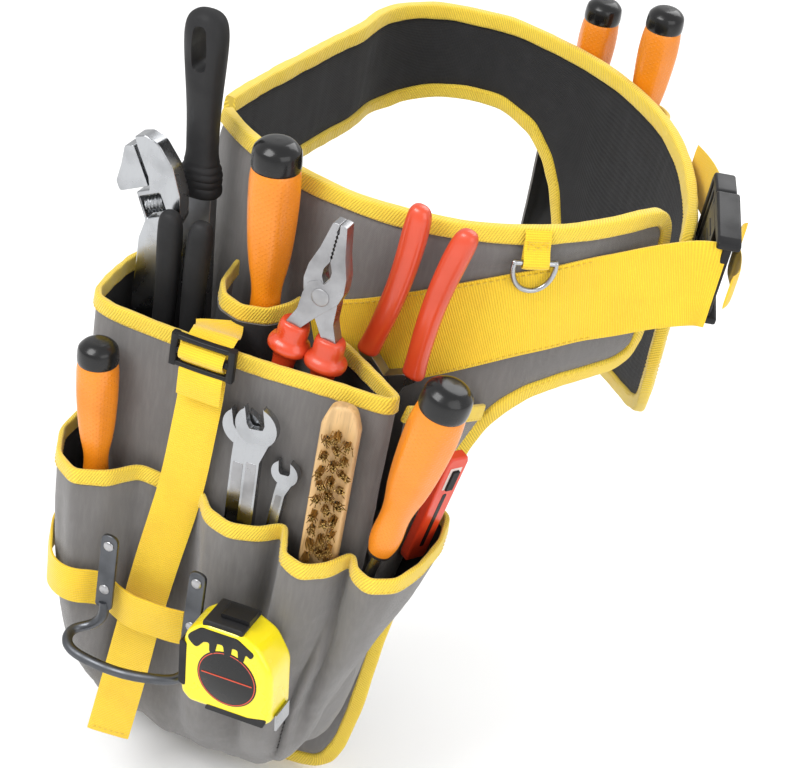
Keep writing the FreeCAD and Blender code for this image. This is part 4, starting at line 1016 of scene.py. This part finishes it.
def plug_webbing():
    start = BUCKLE_SPOT + BUCKLE_TURN @ Vector((29.5, -1, 0))
    path = smooth_line([tuple(start), (147, 28, 42), (134.5, 48, 42), (122.5, 63, 41)], 2.5)
    along = unit(np.gradient(path, axis=0))
    across = np.broadcast_to(unit(np.array([0.1, 0, 1.0])), path.shape)
    side = unit(across - along * (across * along).sum(1, keepdims=True))
    piece = Piece("plug_webbing_strip", "buckle_plug")
    ribbon(piece, path - [0, 0, 5], side, 34, 1.5, WEBBING)
    made = piece.build()
    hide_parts("plug_webbing")


plug_webbing()

# ---------------------------------------------------------------- hardware


def upright(base, lean=0.0, turn=0.0):
    """Where a tool stands: its foot in millimetres, its lean to the right as run over rise."""
    axis = Vector((lean, 0, 1)).normalized()
    turned = Vector((0, 0, 1)).rotation_difference(axis).to_matrix().to_4x4()
    return Matrix.Translation(Vector(base) * MM) @ turned @ Matrix.Rotation(math.radians(turn), 4, "Z")


def at(x, y, z, turn=0.0, axis="Y"):
    return Matrix.Translation(Vector((x, y, z)) * MM) @ Matrix.Rotation(math.radians(turn), 4, axis)


def outlined(points, corner=1.0, steps=5):
    """A closed outline with each corner rounded to a radius; a corner may carry its own radius."""
    done = []
    count = len(points)
    for i, p in enumerate(points):
        q = np.array(p[:2], float)
        radius = p[2] if len(p) > 2 else corner
        a, b = (np.array(points[k % count][:2], float) - q for k in (i - 1, i + 1))
        la, lb = np.linalg.norm(a), np.linalg.norm(b)
        a, b = a / la, b / lb
        half = math.acos(np.clip(a @ b, -1, 1)) / 2
        reach = min(radius / max(math.tan(half), 0.05), 0.46 * la, 0.46 * lb)
        if reach < 0.05:
            done.append(q)
            continue
        for t in np.linspace(0, 1, steps):
            done.append(q + a * reach * (1 - t)**2 + b * reach * t**2)
    return np.array(done)


def plate(name, body, points, thick, material, place, bevel=0.8, corner=1.0, centre=0.0, segments=3):
    """A flat part cut to an outline in its own XZ plane."""
    line = outlined(points, corner)
    n = len(line)
    piece = Piece(name, body, place)
    front = np.column_stack([line[:, 0], np.full(n, centre - thick / 2), line[:, 1]])
    back = front + [0, thick, 0]
    faces = [list(range(n)), list(range(2 * n - 1, n - 1, -1))]
    faces += [[i, (i + 1) % n, n + (i + 1) % n, n + i] for i in range(n)]
    points = np.concatenate([front, back])
    piece.add(points, faces, [[[points[v][2], points[v][0]] for v in face] for face in faces],
              [material] * len(faces))
    made = piece.build(CREASE)
    if bevel:
        add_bevel(made, bevel, segments)
    return made


def rect(left, low, right, high, corner=1.0):
    return [(left, low, corner), (right, low, corner), (right, high, corner), (left, high, corner)]


def mirrored(half):
    """An outline from its right half, which starts at the foot."""
    left = [(-x, z, corner) for x, z, corner in half]
    return left[:1] + half + left[:0:-1]


def cut(made, cutter):
    """Takes the cutter's shape out of a piece for good."""
    mod = made.modifiers.new("cut", "BOOLEAN")
    mod.object = cutter
    mod.solver = "EXACT"
    while made.modifiers[0] != mod:
        made.modifiers.move(len(made.modifiers) - 1, 0)
    bpy.context.view_layer.update()
    others = [m for m in made.modifiers if m != mod]
    for m in others:
        m.show_viewport = False
    bpy.context.view_layer.update()
    graph = bpy.context.evaluated_depsgraph_get()
    mesh = bpy.data.meshes.new_from_object(made.evaluated_get(graph), depsgraph=graph)
    for m in others:
        m.show_viewport = True
    made.modifiers.remove(mod)
    made.data = mesh
    mesh.set_sharp_from_angle(angle=math.radians(CREASE))
    bpy.data.objects.remove(cutter)


def shown(made, slot, *nodes):
    if nodes:
        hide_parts(*nodes)
    return made


def dome(name, body, place, radius, tall, material, slot):
    """A domed rivet or bolt head that stands out along its own Z."""
    a = np.linspace(0, math.pi / 2, 7)
    profile = [(radius, 0)] + [(radius * math.cos(v * 0.98), tall * (0.35 + 0.65 * math.sin(v))) for v in a]
    piece = Piece(name, body, place)
    piece.lathe(profile, material, 24)
    return shown(piece.build(HARD), slot)


def closure_buckle():
    """A three-bar slide on the pouch's rim, with the strap threaded over its middle bar."""
    place = at(-75, -241, -37, 4, "Z")
    piece = Piece("closure_slide", "belt", place)
    for z, tall in ((-9.3, 3.4), (-0.2, 4.6), (9.2, 3.6)):
        bow = -0.9 * np.cos(np.linspace(-1.4, 1.4, 24))
        path = level(np.column_stack([np.linspace(-20, 20, 24), bow]), z)
        piece.sweep(path, (0, 0, 1), (0, -1, 0), rounded_section(tall, 5, 14), BLACK)
    for x in (-18.6, 18.6):
        path = np.column_stack([np.full(20, x), np.full(20, -0.3), np.linspace(-10.8, 10.8, 20)])
        piece.sweep(path, (1, 0, 0), (0, -1, 0), rounded_section(4.8, 6, 14), BLACK)
    shown(piece.build(HARD), "black_plastic", "closure_buckle")
    fold = [(0, 2.5, 6.6), (0, -1.5, 5.2), (0, -4.4, 1.8), (0, -4.4, -2.2), (0, -1.5, -5.4), (0, 2.5, -6.8)]
    tail = [(0, 0.8, -7), (0.5, -2.2, -11), (0.8, -3.2, -16), (0.5, -2.2, -30)]
    for name, points, step, width in (("closure_fold", fold, 0.8, 29), ("closure_tail", tail, 1.0, 28.5)):
        piece = Piece(name, "belt", place)
        ribbon(piece, smooth_line(points, step), (1, 0, 0), width, 1.5, WEBBING)
        shown(piece.build(), "yellow_webbing")


closure_buckle()


def waist_buckle():
    """The two halves of the side-release buckle, moulded with shoulders, windows and ribs."""
    for side in (1, -1):
        w = 34 * side
        wall = [(-52, w - 1.5 * side, 2), (-46, w, 4), (-1, w, 4), (0.2, w - 5 * side, 2),
                (-5, w - 9 * side, 2),
                (-52, w - 6.5 * side, 2)]
        made = plate(f"socket_side_{side + 1}", "belt", wall, 15, BLACK, BUCKLE, 1.8, segments=4)
        shown(made, "black_plastic", *(("waist_buckle_socket",) if side > 0 else ()))
    for y in (6.2, -6.2):
        face = [(-30, -27, 3), (-30, 27, 3), (-3, 27, 2), (0, 14, 8), (0, -14, 8), (-3, -27, 2)]
        made = plate(f"socket_face_{y > 0}", "belt", face, 2.6, BLACK, BUCKLE, 1.0, centre=y)
        shown(made, "black_plastic")
        for z in (-16, -8, 0, 8, 16):
            rib = rect(-25, z - 1, -8, z + 1, 0.9)
            made = plate(f"socket_rib_{y > 0}_{z + 16}", "belt", rib, 1.4, BLACK, BUCKLE, 0.5,
                         centre=y * 1.17)
            shown(made, "black_plastic")
    for x in (-48, -38):
        bar = rect(x - 2.4, -29, x + 2.4, 29, 1.5)
        shown(plate(f"socket_bar_{-x}", "belt", bar, 5.6, BLACK, BUCKLE, 1.6), "black_plastic")
    frame_line = [(1, -31, 5), (26, -28, 5), (28.4, -20, 4), (28.4, 20, 4), (26, 28, 5), (1, 31, 5)]
    made = plate("plug_frame", "buckle_plug", frame_line, 13.5, BLACK, BUCKLE, 2.2, segments=4)
    for x in (7, 17):
        cut(made, plate(f"plug_hole_{x}", "buckle_plug", rect(x, -23, x + 6, 23, 2), 40, BLACK, BUCKLE, 0))
    shown(made, "black_plastic", "waist_buckle_plug")
    for z in (-19, 19):
        prong = [(1.5, z - 3, 1), (1.5, z + 3, 1), (-12, z + 3.2, 2), (-19, z + 2, 3), (-19, z - 2, 3),
                 (-12, z - 3.2, 2)]
        shown(plate(f"plug_prong_{z + 19}", "buckle_plug", prong, 8, BLACK, BUCKLE, 1.2), "black_plastic")


waist_buckle()


def webbing_tail():
    """The loose end of the waist webbing, folded back outside the socket."""
    piece = Piece("webbing_tail", "belt", BUCKLE)
    line = smooth_line([(-56, -7.5, -1), (-52, -10.5, -1), (-44, -12.5, -1), (-32, -12.8, -1),
                        (-20, -11.5, -1),
                        (-8, -13.5, -1), (-2, -16, -1), (-1, -18, -1)], 1.2)
    ribbon(piece, line, (0, 0, 1), 27, 1.5, WEBBING)
    shown(piece.build(), "yellow_webbing")


webbing_tail()


def ring_tab():
    """The webbing tab folded through the D-ring."""
    s = 104
    line = [(4.6, 57), (7.4, 51), (9.2, 45), (12.8, 39.5), (13.4, 37), (11.6, 34.6), (9.0, 35.5),
            (8.0, 38.5), (7.2, 44),
            (6.4, 50)]
    line = smooth_line(line, 0.9)
    path = FRONT.place(np.full(len(line), s), line[:, 0], line[:, 1])
    piece = Piece("ring_tab")
    ribbon(piece, path, FRONT.along(s), 16.5, 1.5, WEBBING)
    box_stitch(piece, FRONT.place(s, 9.4, 47.5), np.array([0, 0, 1.0]), FRONT.along(s), FRONT.outward(s),
               8, 12)
    shown(piece.build(), "yellow_webbing", "d_ring_tab")


ring_tab()


def hammer_loop():
    slot = "dark_steel"
    for i, x in enumerate((-111, -48)):
        ends = [(x - 6, -233, 3), (x + 6, -233, 3), (x + 6, -174, 5.9), (x - 6, -174, 5.9)]
        made = plate(f"loop_leg_{i}", "belt", ends, 3, GUNMETAL, None, 0.9, centre=-265.5)
        shown(made, slot, *(("hammer_loop",) if i == 0 else ()))
        for z in (-182, -217):
            spot = at(x, -266.6, z, 90, "X")
            dome(f"loop_rivet_{i}_{-z}", "belt", spot, 3.6, 1.8, STEEL, slot)
    path = [(-111, -265.5, -228), (-111, -266, -240), (-118, -269, -249), (-126, -276, -252),
            (-123, -287, -253),
            (-105, -293, -254), (-81, -293, -253), (-59, -288, -251), (-45, -277, -249), (-45, -268, -243),
            (-48, -265.5, -228)]
    piece = Piece("loop_rod")
    piece.tube(smooth_line(path, 2.0), 3.4, GUNMETAL, 16)
    shown(piece.build(), slot)


hammer_loop()

# ---------------------------------------------------------------- screwdrivers


def screwdriver(name, place, radius, tall, nodes, body):
    """A waisted, softly six-sided handle with a domed black cap."""
    grip = smooth_line([(0.30, 0), (0.44, 0.003), (0.52, 0.03), (0.62, 0.11), (0.585, 0.2), (0.74, 0.36),
                        (0.95, 0.58),
                        (1.0, 0.72), (0.985, 0.81), (0.93, 0.858), (0.80, 0.868)], 0.02)

    def facets(a, z):
        t = z / tall
        return 1 + 0.028 * np.cos(6 * a) * np.clip((t - 0.16) * 5, 0, 1) * np.clip((0.84 - t) * 9, 0, 1)

    piece = Piece(name, body, place)
    piece.lathe(np.column_stack([grip[:, 0] * radius, grip[:, 1] * tall]), ORANGE, 60, facets)
    cap = smooth_line([(0.80, 0.862), (0.93, 0.866), (0.965, 0.885), (0.955, 0.925), (0.86, 0.968),
                       (0.62, 0.994),
                       (0.3, 1.003), (0.02, 1.005)], 0.02)
    piece.lathe(np.column_stack([cap[:, 0] * radius, cap[:, 1] * tall]), BLACK_GLOSS, 48)
    collar = [(0.42, -0.002), (0.47, 0.0), (0.47, 0.022), (0.40, 0.03)]
    piece.lathe([(r * radius, z * tall - 0.6) for r, z in collar], BLACK, 40)
    return shown(piece.build(40), "orange_plastic", *nodes)


for name, place, radius, tall in (
        ("left_screwdriver", upright((-139, -239, -168), -0.07), 13.5, 112),
        ("centre_screwdriver", upright((-66, -177.5, -52), -0.06), 16, 135),
        ("right_screwdriver", upright((52.5, -229, -134), 0.18), 16, 135)):
    screwdriver(f"{name}_grip_body", place, radius, tall, [f"{name}_handle"], name)
for name, place, blade in (("rear_left_screwdriver", upright((14, 163.5, -22)), 70),
                           ("rear_right_screwdriver", upright((64.5, 138.5, -4)), 78)):
    screwdriver(f"{name}_grip_body", place, 13.5, 112, [name], name)
    piece = Piece(f"{name}_shaft", name, place)
    piece.lathe([(3.5, 3), (3.5, -blade + 4), (2.2, -blade + 2.1)], CHROME, 20)
    shown(piece.build(40), "steel")

# ---------------------------------------------------------------- pliers


def plier_half(name, body, node, side, jaw, spread, neck, place, toothed):
    """One half: jaw, lapped pivot boss and tang."""
    inner = [(0.15, 9, 0.3), (2.6, 14, 2), (2.8, 19, 2), (0.15, 25, 0.3)] if toothed else [(0.15, 9, 0.3)]
    if toothed:
        for k in range(7):
            inner += [(0.15, 27 + 2.8 * k, 0.05), (0.95, 28.4 + 2.8 * k, 0.05)]
    tip = [(0.15, jaw, 0.3), (4.6, jaw - 0.3, 1.2), (8.4, jaw * 0.62, 8), (12.5, jaw * 0.36, 6),
           (13.4, 8, 6),
           (11.5, 0, 6), (1.5, -13, 8)]
    tang = [(-spread + 6, -neck, 0.5), (-spread - 4, -neck, 0.5), (-spread * 0.55 - 5, -14, 8),
            (-11.5, -2, 6),
            (-9.5, 7, 4), (-3, 11, 2)]
    points = [(x * side, z, c) for x, z, c in inner + tip + tang]
    made = plate(name, body, points, 9.6 if side > 0 else 9.0, SATIN, place, 0.9)
    return shown(made, "steel", node)


def dipped(name, body, node, place, guarded, material, slot, bend=0.0):
    """A dipped handle, oval in section, with a thumb guard on some."""
    if guarded:
        profile = [(6.5, 0.4), (8.2, 0), (9.2, -2), (9.6, -8), (10.2, -12), (12.6, -14.5), (13.2, -17),
                   (12.6, -19.6),
                   (9.5, -22), (7.6, -26), (7.2, -40), (7.6, -64), (7, -102), (5.6, -107), (2, -108.4)]
    else:
        profile = [(5.2, 0.4), (6.6, 0), (7.2, -3), (7.1, -30), (7.4, -55), (7.9, -80), (7.7, -99),
                   (6.6, -105),
                   (4.2, -108.2), (1.2, -109)]
    profile = smooth_line(profile, 1.4)
    r, z = profile.T
    path = np.column_stack([bend * np.sin(np.clip(-z / 108, 0, 1) * math.pi), z * 0, z])
    piece = Piece(name, body, place)
    piece.sweep(path, (1, 0, 0), (0, 1, 0), oval(32, 0.85, 0.86)[None] * r[:, None, None], material)
    return shown(piece.build(HARD), slot, node)


def pliers(name, place, jaw, spread, neck, lean, guarded, mover, material, slot, bend):
    foot = spread - 1
    for part, body, way in ((name, name, -mover), (f"{name}_moving", f"{name}_moving", mover)):
        plier_half(f"{part}_jaw", body, f"{part}_half", way, jaw, spread, neck, place, guarded)
        spot = place @ at(-foot * way, 0, -neck - 0.1, lean * way)
        dipped(f"{part}_dip", body, f"{part}_grip", spot, guarded, material, slot, bend * way)
    for k in (1, -1):
        dome(f"{name}_pivot_{k + 1}", name, place @ at(0, -4.6 * k, 0, 90 * k, "X"), 5.8, 1.3, STEEL,
             "steel")


FLIP = Matrix.Rotation(math.pi, 4, "Y")
pliers("combination_pliers", upright((-19, -207, 12), 0.1), 51, 13, 26, 2, True, 1, RED, "red_plastic", 0)
pliers("long_pliers", upright((14, -171, -62), 0.16) @ FLIP, 44, 17, 22, 0, False, 1, RED, "red_plastic",
       3.5)
CUTTER = upright((-121.5, -184, -110), -0.02) @ FLIP
pliers("cutter", CUTTER, 40, 12, 16, 0, False, -1, RUBBER, "black_rubber", 1.5)
inlay = rect(-3, -60, 3, -78, 1.5)
shown(plate("cutter_inlay", "cutter", inlay, 2, LEMON, CUTTER @ at(-11, 6.2, 0), 0.5), "yellow_plastic")

# ---------------------------------------------------------------- wrench and bar

WRENCH = upright((-152, -169.5, 7))


def headed(points, turn=28):
    c, s = math.cos(math.radians(turn)), math.sin(math.radians(turn))
    return [(x * c - z * s, x * s + z * c, r) for x, z, r in points]


def wrench():
    mouth = [(13, 46, 5), (5, 47, 1.5), (4.2, 40, 2), (4.2, 20, 1), (2, 12, 1), (-8, 12, 1.5), (-9, -7, 3)]
    outside = [(16, -11, 8), (22, 4, 8), (24, 22, 10), (20, 39, 9)]
    handle = [(-8, -24, 10), (-9, -119, 4), (9, -119, 4), (10, -26, 12)]
    made = plate("wrench_frame", "wrench", headed(mouth) + handle + headed(outside), 12, CHROME, WRENCH,
                 1.6)
    cut(made, plate("wrench_window", "wrench", headed(rect(-6.8, -6, 8.6, 8.5)), 30, CHROME, WRENCH, 0))
    shown(made, "steel", "wrench_body")
    jaw = headed([(-20, 14, 2), (1.6, 14, 0.5), (1.6, 41, 1), (-4.5, 42.5, 3), (-12, 31, 8), (-20, 21, 3)])
    shown(plate("wrench_slide_jaw", "wrench_jaw", jaw, 11, CHROME, WRENCH, 1.2), "steel", "wrench_jaw")
    turned = np.linspace(0, 13, 53)
    screw = [(2.5, 0)] + [(5.3 + 0.65 * math.cos(v * TAU / 2.6), v) for v in turned] + [(2.5, 13)]
    head = Matrix.Rotation(math.radians(-28), 4, "Y")
    spot = WRENCH @ head @ at(-5.2, 0, 1.2) @ Matrix.Rotation(math.radians(90), 4, "Y")
    piece = Piece("wrench_worm_screw", "wrench_worm", spot)
    piece.lathe(screw, CHROME, 28, lambda a, z: 1 + 0.035 * np.cos(14 * a))
    shown(piece.build(40), "steel", "wrench_worm")


wrench()
BAR = upright((-135, -146, 11), -0.079)


def pry_bar():
    profile = smooth_line([(9, 0), (12.8, 0.6), (13.6, 3), (13.4, 8), (13.6, 14), (12.6, 19), (10.9, 25),
                           (10.3, 36),
                           (10.6, 52), (11.8, 72), (13.2, 90), (13.8, 103), (13.2, 112), (10.6, 118.5),
                           (6, 121.6),
                           (1, 122.4)], 1.2)
    r, z = profile.T
    r = r - 0.7 * np.clip(np.cos((z - 3) * TAU / 4.6), 0, 1) * (z > 4) * (z < 22)
    piece = Piece("bar_handle", "pry_bar", BAR)
    ring = oval(48, 0.8, 0.74)[None] * r[:, None, None]
    piece.sweep(np.column_stack([z * 0, z * 0, z]), (1, 0, 0), (0, 1, 0), ring, RUBBER)
    made = piece.build(45)
    hole = mirrored([(4.6, 85, 4.5), (5.2, 100, 9), (4.2, 114, 4.2)])
    cut(made, plate("bar_hole", "pry_bar", hole, 40, RUBBER, BAR, 0))
    shown(made, "black_rubber", "pry_bar_grip")
    shank = mirrored([(9.5, -0.1, 0.5), (8.6, -180, 2), (9, -210, 1)])
    shown(plate("bar_shank", "pry_bar", shank, 9, SATIN, BAR, 1.2), "steel", "pry_bar_shank")


pry_bar()

# ---------------------------------------------------------------- small tools


def spanner(name, place, head, shank, tall, tilt=12):
    """An open-end spanner with a tilted head and a recessed shank."""
    w = shank / 2
    slot = head * 0.43
    angles = np.radians(np.linspace(-58, 62, 12))
    right = [(head * math.cos(a), head * math.sin(a), 0.2) for a in angles]
    left = [(-x, z, corner) for x, z, corner in right[::-1]]
    mouth = [(slot * 1.02, head * 1.0, 1.0), (slot, head * 0.12, 0.4), (slot * 0.75, -head * 0.12, 1.5),
             (-slot * 0.75, -head * 0.12, 1.5), (-slot, head * 0.12, 0.4), (-slot * 1.02, head * 1.0, 1.0)]
    ring = headed(right + mouth + left, tilt)
    foot = [(-w, -head * 1.75, 8), (-w, -tall, 2), (w, -tall, 2), (w, -head * 1.75, 8)]
    made = plate(f"{name}_tool", name, ring + foot, 4.8, CHROME, place, 0.8, 0.5)
    shown(made, "steel", name)
    panel = [(-w + 1.5, -head * 1.9, 1.4), (-w + 1.5, -tall + 14, 1.4), (w - 1.5, -tall + 14, 1.4),
             (w - 1.5, -head * 1.9, 1.4)]
    shown(plate(f"{name}_recess", name, panel, 5.1, SATIN, place, 0.15, 1), "steel")


for name, place, head, shank, tall in (("spanner_left", upright((-46.5, -232, -81), -0.02), 13.5, 10, 130),
                                       ("spanner_middle", upright((-35, -238.5, -72), -0.02), 14, 10, 130),
                                       ("spanner_right", upright((-15, -231.5, -102), 0.08), 9, 7, 90)):
    spanner(name, place, head, shank, tall)

BRUSH = upright((16.5, -235, -170), 0, 8)


def brush():
    """A wooden block with three staggered rows of wire tufts."""
    w, tall = 12, 135
    points = mirrored([(w * 0.75, 0, 3), (w, 18, 14), (w, tall - 16, 12), (w * 0.6, tall - 1.5, 8)])
    shown(plate("brush_block", "brush", points, 9, WOOD, BRUSH, 2.6, segments=5), "wood", "brush_back")
    rng = np.random.default_rng(5)
    wires = Piece("brush_wires", "brush", BRUSH)
    tufts = [(x, 22 + row * 11 + (5.5 if x == 0 else 0)) for row in range(9) for x in (-6.3, 0, 6.3)]
    t = np.linspace(0, 1, 5)[:, None]
    for x, z in tufts:
        lean = np.array([rng.normal(2.2, 1.0), 0, rng.normal(1.5, 1.2)])
        for _ in range(34):
            off = rng.normal(size=2) * 1.15
            spread = rng.normal(size=2) * 1.3
            start = np.array([x + off[0], -4.2, z + off[1]])
            long = rng.uniform(7.6, 9.8)
            path = start + np.array([0, -long, 0]) * t + (lean + [spread[0], 0, spread[1]]) * t**1.7
            wires.tube(path, 0.3, BRASS, 5)
    shown(wires.build(), "brass_wire", "brush_bristles")
    # painted shade: flat dark steel discs at the root of each tuft stand for the shade inside its hole
    holes = Piece("brush_hole_shade", "brush", BRUSH)
    disc = [(1.7 * math.cos(i * TAU / 12), 1.7 * math.sin(i * TAU / 12), h) for h in (0, 0.12)
            for i in range(12)]
    sides = [[i, (i + 1) % 12, 12 + (i + 1) % 12, 12 + i] for i in range(12)]
    faces = [list(range(11, -1, -1)), list(range(12, 24))] + sides
    spots = np.array([(x, -4.46, z) for x, z in tufts])
    frames = np.broadcast_to(np.array([[1.0, 0, 0], [0, 0, 1.0], [0, -1.0, 0]]), (len(spots), 3, 3))
    holes.stamp(disc, faces, spots, frames, GUNMETAL)
    shown(holes.build(40), "brass_wire")


brush()
KNIFE = upright((58.5, -180.5, -166), 0.18, 60)


def knife():
    w, tall, thick = 8.25, 88, 8
    body = mirrored([(w - 1, 0, 2), (w, 5, 3), (w, tall - 4, 3), (w - 2, tall, 2)])
    shown(plate("knife_case", "knife", body, thick, KNIFE_RED, KNIFE, 1.8, segments=4), "red_plastic",
          "knife_body")
    label = rect(-4.6, tall - 26, 4.6, tall - 8, 0.6)
    shown(plate("knife_patch", "knife", label, thick + 0.5, LABEL, KNIFE, 0.15), "red_plastic")
    track = rect(-1.6, 12, 1.6, tall - 30, 1.4)
    shown(plate("knife_track", "knife", track, thick + 0.4, BLACK, KNIFE, 0.15), "black_rubber")


knife()
TAPE = at(-9, -279.5, -216, -6)


def tape_measure():
    """A pocket tape: bright case, black rubber trim with finger ridges, and a blank round label."""
    case = [(-31.5, -26, 8), (-25, -32, 7), (27, -32, 6), (31.5, -28, 5), (31.5, 8, 20), (22, 25, 16),
            (8, 32, 14),
            (-16, 32, 14), (-28, 23, 14), (-31.5, 8, 16)]
    made = plate("tape_shell", "tape_measure", case, 30, LEMON, TAPE, 4.5, segments=6)
    shown(made, "yellow_plastic", "tape_case")
    trim = [(-27.5, 20, 8), (-17, 29.5, 8), (8, 29.5, 8), (20, 22, 4), (17.5, 17.5, 2), (14, 20.5, 1.5),
            (12.5, 13.5, 1.8),
            (9, 13.5, 1.8), (8.4, 21.5, 1.5), (4.6, 21.8, 1.5), (3.4, 12, 1.8), (-0.2, 12, 1.8),
            (-1.6, 21.8, 1.5),
            (-5.6, 21.4, 1.5), (-7.4, 12.5, 1.8), (-11, 13.5, 1.8), (-11, 20.6, 1.5), (-15, 19.4, 1.5),
            (-20, 13, 3)]
    made = plate("tape_trim", "tape_measure", trim, 31.4, RUBBER, TAPE, 0.9)
    shown(made, "black_rubber")
    top = [(-18, 29, 3), (10, 29, 3), (11, 34.4, 2.5), (-17, 34.4, 2.5)]
    shown(plate("tape_top", "tape_measure", top, 26, RUBBER, TAPE, 1.6), "black_rubber", "tape_cover")
    side = [(-32.3, -18, 2), (-27.5, -20, 1.5), (-26.6, 14, 2), (-31.6, 16, 2.5)]
    shown(plate("tape_side_grip", "tape_measure", side, 31.2, RUBBER, TAPE, 1.2), "black_rubber")
    foot = [(-14, -32.6, 1.5), (27, -32.6, 1.5), (30, -25, 2), (16, -28.6, 2), (-12, -28.6, 2)]
    shown(plate("tape_foot", "tape_measure", foot, 31.0, RUBBER, TAPE, 1.0), "black_rubber")
    shown(plate("tape_blade", "tape_hook", rect(-24, -27.2, 31.5, -26.2, 0.1), 18.2, LEMON, TAPE, 0),
          "yellow_plastic")
    face = TAPE @ at(1.5, -15.05, -3.5) @ Matrix.Rotation(math.radians(90), 4, "X")
    piece = Piece("tape_label", "tape_measure", face)
    piece.lathe([(20.4, -0.4), (20.4, 0.15), (19.9, 0.42), (0.4, 0.42)], BLACK_GLOSS, 72)
    piece.lathe([(19.6, 0.1), (19.6, 0.5), (19.0, 0.5), (19.0, 0.1)], RED, 72)
    shown(piece.build(30), "black_rubber")
    line = rect(-17.5, 0.2, 17.5, 0.9, 0.2)
    shown(plate("tape_label_line", "tape_measure", line, 1.2, RED, TAPE @ at(1.5, -15.2, -3.5), 0),
          "red_plastic")


tape_measure()

# ---------------------------------------------------------------- stage


def finish_nodes():
    """Materials and softened edges for the model's own hard parts."""
    looks = {"d_ring": (CHROME, 0), "tape_lever": (BLACK, 0.8), "knife_slider": (BLACK, 0.6)}
    for name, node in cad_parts.items():
        if node.hide_render:
            continue
        material, bevel = looks.get(name, (CHROME, 0.3))
        node.data.materials.clear()
        node.data.materials.append(material)
        if bevel:
            add_bevel(node, bevel, 3, weld=True)


finish_nodes()


def stage():
    low = CAD_BOX[0].z
    mesh = bpy.data.meshes.new("floor")
    corners = (-1, -1), (1, -1), (1, 1), (-1, 1)
    mesh.from_pydata([(x * FLOOR, y * FLOOR, low - FLOOR_DROP) for x, y in corners], [], [(0, 1, 2, 3)])
    floor = linked("floor", mesh)
    mesh.materials.append(Graph("pale_floor", (0.93, 0.93, 0.93), 0.75).material)
    world = bpy.data.worlds.new("studio")
    bpy.context.scene.world = world
    world.use_nodes = True
    world.node_tree.nodes["Background"].inputs[0].default_value = (1, 1, 1, 1)
    world.node_tree.nodes["Background"].inputs[1].default_value = 0.85
    centre = Vector((-0.02, -0.1, -0.1))
    lights = (("key", (-0.9, -1.5, 1.7), 42, 1.3), ("fill", (1.6, -1.0, 0.8), 14, 1.6),
              ("back", (0.4, 1.6, 1.4), 18, 1.4))
    for name, spot, power, size in lights:
        data = bpy.data.lights.new(name, "AREA")
        data.energy = power
        data.size = size
        made = linked(name, data)
        made.location = spot
        made.rotation_euler = (centre - Vector(spot)).to_track_quat("-Z", "Y").to_euler()


def camera():
    data = bpy.data.cameras.new("camera")
    data.lens = 90
    data.sensor_width = 36
    made = linked("camera", data)
    made.location = SIGHT_SPOT
    forward = Vector(SIGHT_WAY).normalized()
    right = forward.cross(Vector((0, 0, 1))).normalized()
    up = right.cross(forward)
    roll = math.radians(SIGHT_ROLL)
    x = right * math.cos(roll) + up * math.sin(roll)
    y = -right * math.sin(roll) + up * math.cos(roll)
    made.rotation_mode = "QUATERNION"
    made.rotation_quaternion = Matrix((x, y, -forward)).transposed().to_quaternion()
    bpy.context.scene.camera = made


stage()
camera()
scene = bpy.context.scene
scene.view_settings.view_transform = "Standard"
